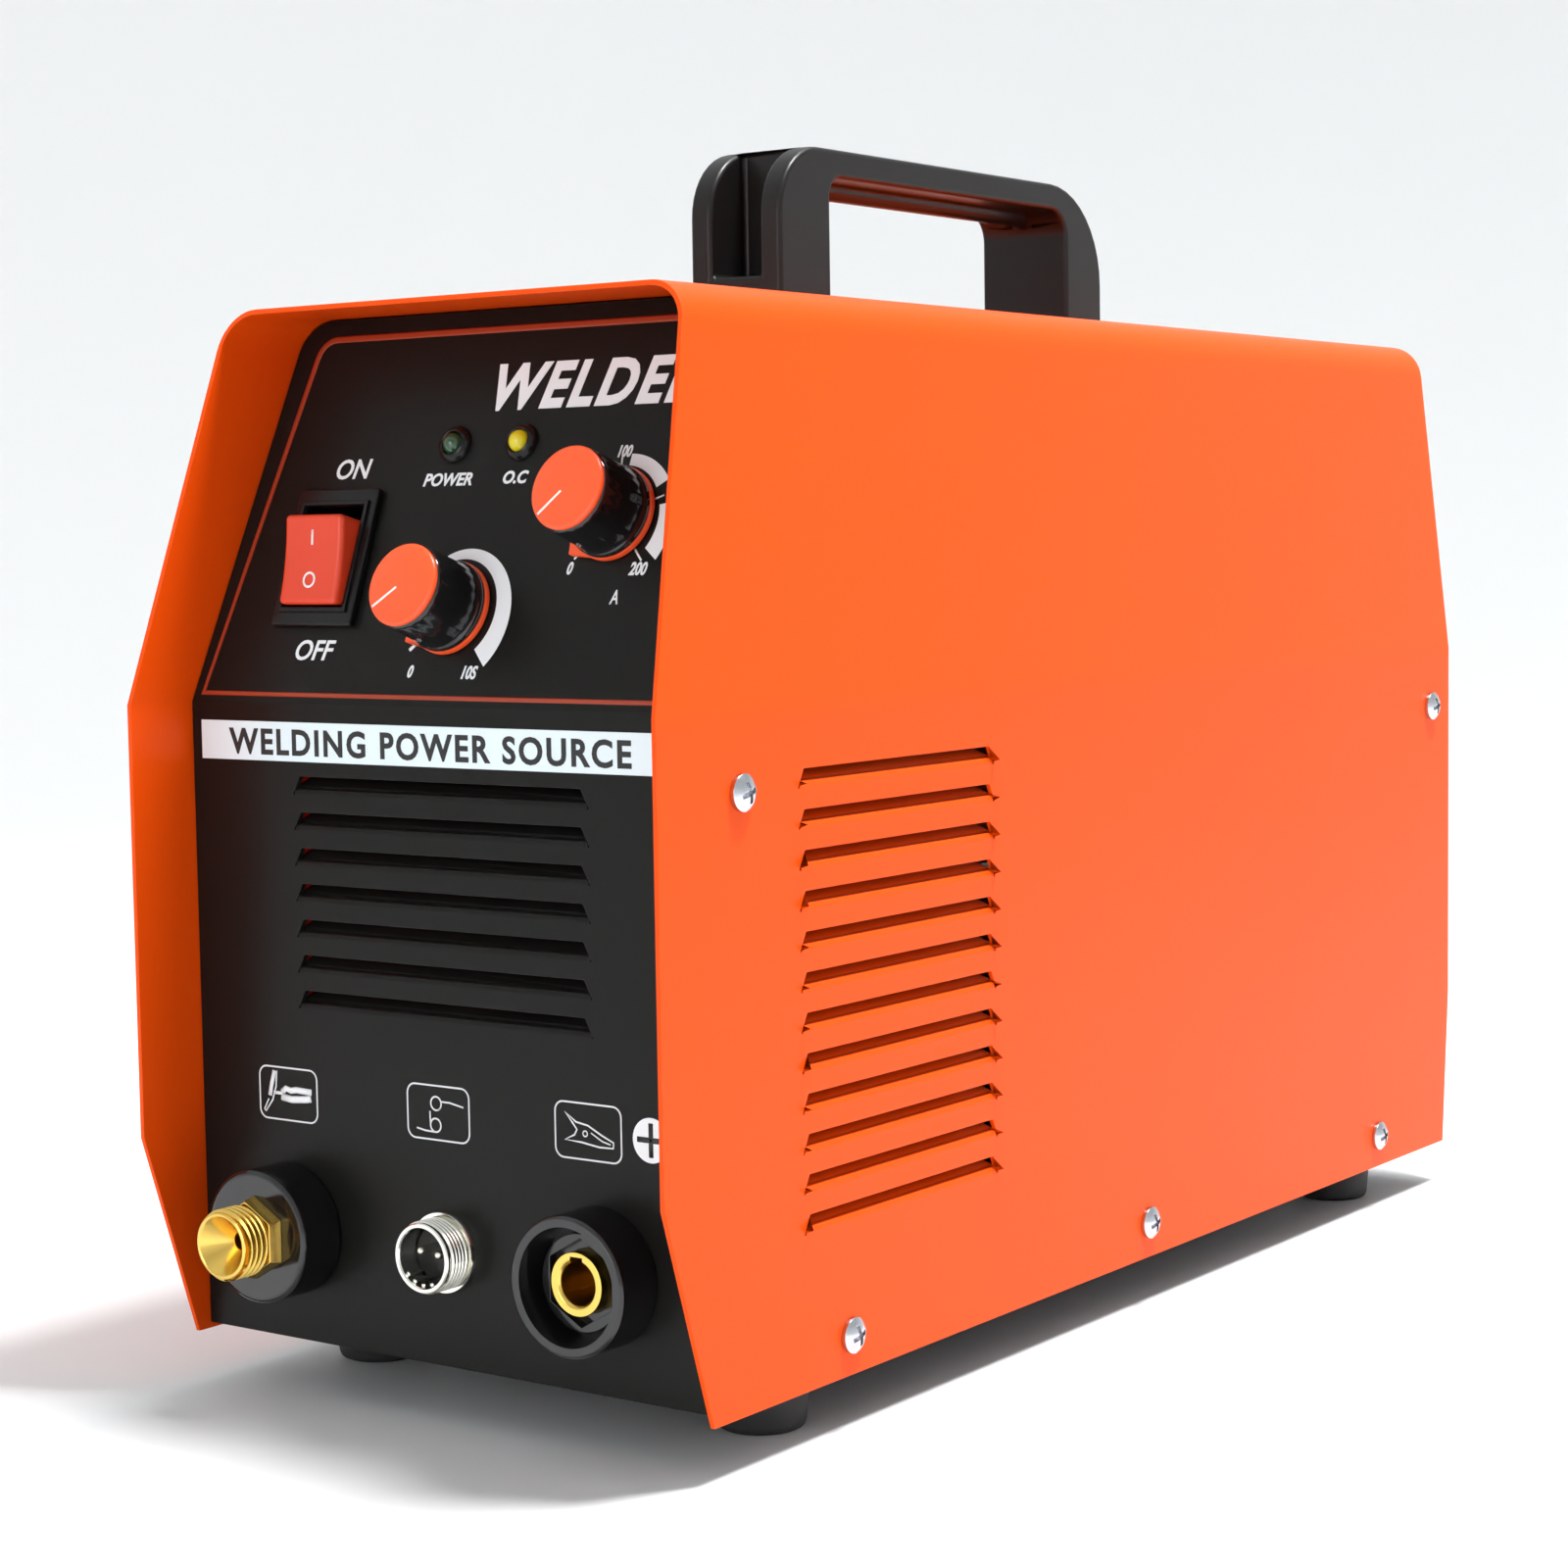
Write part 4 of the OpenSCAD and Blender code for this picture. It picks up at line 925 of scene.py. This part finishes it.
clamp = [stroke([(34.4, 73.1), (37.4, 71.2), (40.6, 70.7), (44.4, 68.9), (47.4, 67.7),
                 (47.3, 66.5), (43.6, 66.4), (38.8, 67.0), (34.3, 67.2), (36.9, 68.4),
                 (37.6, 69.6), (36.4, 71.0)], thin, closed=True),
         stroke([(41.4, 69.2), (44.4, 67.7), (46.6, 67.2)], 0.34),
         stroke(arc(39.8, 68.9, 0.6, 0, 330, 12), 0.32, closed=True)]
drawn += torch + lead + clamp
pictograms = carry(join(*drawn), on(LOWER, 0, 0, 0.02))
dress(pictograms, "outlet_pictograms", "white_ink")

PLUS = (57.3, 69.2)
plus_disc = lathe([(0, 0), (4.75, 0), (4.75, 0.06), (0, 0.06)], steps=48)
carry(plus_disc, on(LOWER, *PLUS))
dress(plus_disc, "plus_disc", "white_ink")
plus_mark = carry(join(stroke([(-3.6, 0), (3.6, 0)], 1.3), stroke([(0, -3.6), (0, 3.6)], 1.3)),
                  on(LOWER, *PLUS, 0.05))
dress(plus_mark, "plus_mark", "black_ink")

# %% [markdown]
# ## Signal lamps
# Each lamp is a small dome in a black holder. The holder is turned with a sloping
# collar, and the lens is turned as a dome, so that one small highlight sits on it.

# %% Holders and lenses
LAMPS = {"power_led": -9.5, "overload_led": 9.5}
LAMP_UP = 59.7
DOME_RADIUS = 2.54
holders = []
for x in LAMPS.values():
    ring = lathe([(2.62, -3), (3.2, -3), (3.2, -0.1), (4.35, 0.02), (4.25, 0.7), (3.9, 1.3),
                  (3.4, 1.75), (2.95, 1.93), (2.7, 1.8), (2.62, 1.5), (2.62, -3)], steps=56)
    holders.append(carry(smooth(ring, 40), on(CONTROLS, x, LAMP_UP)))
stand_in(join(*holders), "led_holders")
for node, x in LAMPS.items():
    dome = [(DOME_RADIUS * math.cos(math.radians(a)), 0.9 + 2.5 * math.sin(math.radians(a)))
            for a in range(0, 91, 9)]
    lens = lathe([(0, -3.8), (DOME_RADIUS, -3.8)] + dome, steps=48)
    stand_in(carry(smooth(lens, 40), on(CONTROLS, x, LAMP_UP)), node)

# %% [markdown]
# ## Threads
# The gas nozzle and the control socket have real threads. A zigzag edge is wound up
# with a Screw modifier, which lifts it by one pitch for each turn, and then it is cut
# off square at both ends with bisect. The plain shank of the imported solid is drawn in
# to the foot of the thread, and the two are joined.

# %% Winding a thread
def thread(foot, crest, pitch, low, high):
    """Helical ridges between two heights, all in mm."""
    turns = int((high - low) / pitch) + 2
    zigzag = [(foot - 0.15, 0, low - pitch)]
    for i in range(turns):
        z = low - pitch + i * pitch
        zigzag += [(foot, 0, z + 0.08 * pitch), (crest, 0, z + 0.42 * pitch),
                   (crest, 0, z + 0.58 * pitch), (foot, 0, z + 0.92 * pitch)]
    ridges = outline(zigzag)
    modify(ridges, "SCREW", angle=math.tau, screw_offset=pitch * MM, steps=64,
           render_steps=64, axis="Z", use_merge_vertices=True, merge_threshold=0.01 * MM)
    for height, side in ((low, "clear_inner"), (high, "clear_outer")):
        edit(ridges)
        bpy.ops.mesh.select_all(action="SELECT")
        bpy.ops.mesh.bisect(plane_co=(0, 0, height * MM), plane_no=(0, 0, 1), **{side: True})
        choose("EDGE", lambda e: len(e.link_faces) == 1
               and all(abs(p.z - height * MM) < 0.01 * MM for p in ends(e)))
        bpy.ops.mesh.extrude_region_move(TRANSFORM_OT_translate={"value": (0, 0, 0)})
        bpy.ops.transform.resize(value=(0.93, 0.93, 1), center_override=(0, 0, height * MM))
        done()
    edit(ridges)
    choose("EDGE", lambda e: len(e.link_faces) == 1)
    bpy.ops.mesh.bridge_edge_loops()
    done()
    return smooth(tidy(ridges, 0.002), 35)


def draw_in(piece, face, centre, low, high, limit, factor):
    """Scale the vertices of a shank towards its axis between two heights."""
    back = face.inverted()
    edit(piece)

    def on_shank(v):
        p = back @ v.co
        reach = math.hypot(p.x - centre[0] * MM, p.y - centre[1] * MM)
        return low * MM < p.z < high * MM and reach > limit * MM

    count = choose("VERT", on_shank)
    bpy.ops.transform.resize(value=(factor, 1, factor),
                             center_override=face @ Vector((centre[0] * MM, centre[1] * MM, 0)))
    done()
    return count


OUTLET_UP = 39.0
NOZZLE = (-46, OUTLET_UP)
SOCKET = (0, OUTLET_UP)
nozzle = copy_of("gas_nozzle")
print("nozzle shank points:", draw_in(nozzle, LOWER, NOZZLE, 15.19, 22.2, 7.6, 0.895))
round_edges(nozzle, 0.3 * MM, 2, 25)
ridges = carry(thread(7.1, 8.0, 1.5, 15.3, 21.9), on(LOWER, *NOZZLE))
stand_in(join(ridges, nozzle), "gas_nozzle")

# %% The control socket
shell = lathe([(6.5, -12), (7.5, -12), (7.5, 0), (9.0, 0), (9.0, 1.3), (8.8, 1.6), (7.5, 1.6),
               (7.5, 7.0), (7.7, 7.2), (7.7, 7.8), (7.45, 8.05), (6.75, 8.05), (6.5, 7.7),
               (6.5, -12)], steps=72)
smooth(shell, 35)
rings = thread(7.45, 8.0, 1.0, 1.7, 6.9)
rim_stops = []
for angle in (222, 244, 268, 292):
    stop = block((1.0, 1.1, 5.0), at=(6.1, 0, 4.9))
    stop.data.transform(Matrix.Rotation(math.radians(angle), 4, "Z"))
    rim_stops.append(round_edges(stop, 0.3 * MM, 2, 40))
shell = carry(join(*rim_stops, rings, shell), on(LOWER, *SOCKET))
stand_in(shell, "control_socket_shell")

floor_disc = lathe([(0, -12), (6.45, -12), (6.45, 2.2), (6.1, 2.5), (0, 2.5)], steps=64)
stand_in(carry(smooth(floor_disc, 40), on(LOWER, *SOCKET)), "control_socket_insert")

pins = []
for x, up in ((-2.4, 1.0), (2.6, 0.6)):
    pin = lathe([(0, -15), (0.9, -15), (0.9, 5.2), (0.75, 5.8), (0.4, 6.1), (0, 6.2)], steps=32)
    pins.append(carry(smooth(pin, 50), on(LOWER, x, OUTLET_UP + up)))
stand_in(join(*pins), "control_socket_pins")

# %% [markdown]
# ## The back
# The back carries the fan behind a wire guard, the mains gland, the gas inlet and the
# earth stud. The gland's cap has grip ribs all round, set by a loop. A blank rating
# plate with four rivets sits near the top.

# %% Gland cap with ribs
gland = round_edges(copy_of("cable_gland"), 0.4 * MM, 2, 30)
RIB_COUNT = 18
ribs = []
for i in range(RIB_COUNT):
    rib = block((0.9, 1.5, 7.2), at=(11.35, 0, 10.0))
    rib.data.transform(Matrix.Rotation(math.tau * i / RIB_COUNT, 4, "Z"))
    ribs.append(round_edges(rib, 0.3 * MM, 2, 40))
ribs = carry(join(*ribs), on(BACK, 40, 190))
stand_in(join(ribs, gland), "cable_gland")

# %% Rating plate and rivets
PLATE_UP = 217
plate = block((58, 19, 0.5), at=(0, 0, 0.25))
edit(plate)
choose("EDGE", lambda e: abs(ends(e)[0].z - ends(e)[1].z) > 0.3 * MM)
bpy.ops.mesh.bevel(offset=2.5 * MM, segments=5, affect="EDGES")
done()
round_edges(carry(plate, on(BACK, 0, PLATE_UP)), 0.12 * MM, 2, 40)
dress(plate, "rating_plate", "aluminium")
rivets = []
for x in (-26, 26):
    for up in (PLATE_UP - 6.5, PLATE_UP + 6.5):
        head = lathe([(0, 0.4), (1.6, 0.4), (1.5, 0.9), (1.0, 1.25), (0.5, 1.38), (0, 1.4)], 24)
        rivets.append(carry(head, on(BACK, x, up)))
rivets = smooth(join(*rivets), 60)
dress(rivets, "plate_rivets", "bright_steel")

# %% [markdown]
# ## Ground, light and shade
# The machine stands on a plain pale ground whose rim curves up on all sides, so no
# horizon shows. A small strong lamp high up on the right is the main light: it
# brightens the orange side and throws a short shadow to the left. A large soft panel
# overhead and a weak disc in front of the machine soften it, and a sky that is brighter
# above than in front fills the rest.

# %% The ground
RIM_HEIGHT = 2.0
bpy.ops.mesh.primitive_circle_add(vertices=128, radius=2.6, fill_type="NGON")
ground = bpy.context.object
edit(ground)
choose("EDGE", lambda e: len(e.link_faces) == 1)
bpy.ops.mesh.extrude_region_move(TRANSFORM_OT_translate={"value": (0, 0, RIM_HEIGHT)})
choose("EDGE", lambda e: max(p.z for p in ends(e)) < MM)
bpy.ops.mesh.bevel(offset=1.2, segments=24, affect="EDGES", clamp_overlap=False)
bpy.ops.mesh.select_all(action="SELECT")
bpy.ops.mesh.normals_make_consistent(inside=True)
bpy.ops.mesh.flip_normals()
done()
bpy.ops.object.shade_smooth()
ground.name = "ground"
finish("pale_ground", (0.80, 0.81, 0.815), 0.60, drift=0.02, patch=2, gloss=0.05)
ground.data.materials.append(finishes["pale_ground"])
print("ground:", len(ground.data.polygons), "faces")


# %% The lamps and the sky
def lamp(name, place, aim, size, power):
    """A round soft lamp that looks at a point. Sizes in metres, power in watts."""
    bpy.ops.object.light_add(type="AREA", location=place)
    item = bpy.context.object
    item.name = name
    item.rotation_euler = (Vector(aim) - Vector(place)).to_track_quat("-Z", "Y").to_euler()
    item.data.shape = "DISK"
    item.data.size = size
    item.data.energy = power
    print(name, "stands", round(Vector(place).length, 2), "m away")


lamp("key_lamp", (0.52, 0.12, 1.80), (0, 0, 0.12), 0.34, 48)
lamp("top_panel", (0.1, 0.55, 1.9), (0, 0.1, 0.1), 1.2, 10)
lamp("front_fill", (0.0, -1.6, 0.40), (0, -0.1, 0.12), 0.7, 3.8)

# A sky that is bright overhead and to the rear right, and dim low down and in front
sky = bpy.context.scene.world or bpy.data.worlds.new("sky")
bpy.context.scene.world = sky
sky.use_nodes = True
tree = sky.node_tree
glow = tree.nodes["Background"]
glow.inputs["Color"].default_value = (0.96, 0.98, 1.0, 1)
direction = put(tree, "TexCoord")
toward = put(tree, "VectorMath", {"operation": "DOT_PRODUCT"},
             i0=direction.outputs["Generated"], i1=(0.40, 0.35, 0.85))
fade = put(tree, "MapRange", {"interpolation_type": "SMOOTHSTEP"},
           Value=toward.outputs["Value"], i1=-0.3, i2=0.9, i3=0.08, i4=0.38)
tree.links.new(fade.outputs[0], glow.inputs["Strength"])
bpy.context.scene.view_settings.view_transform = "Standard"
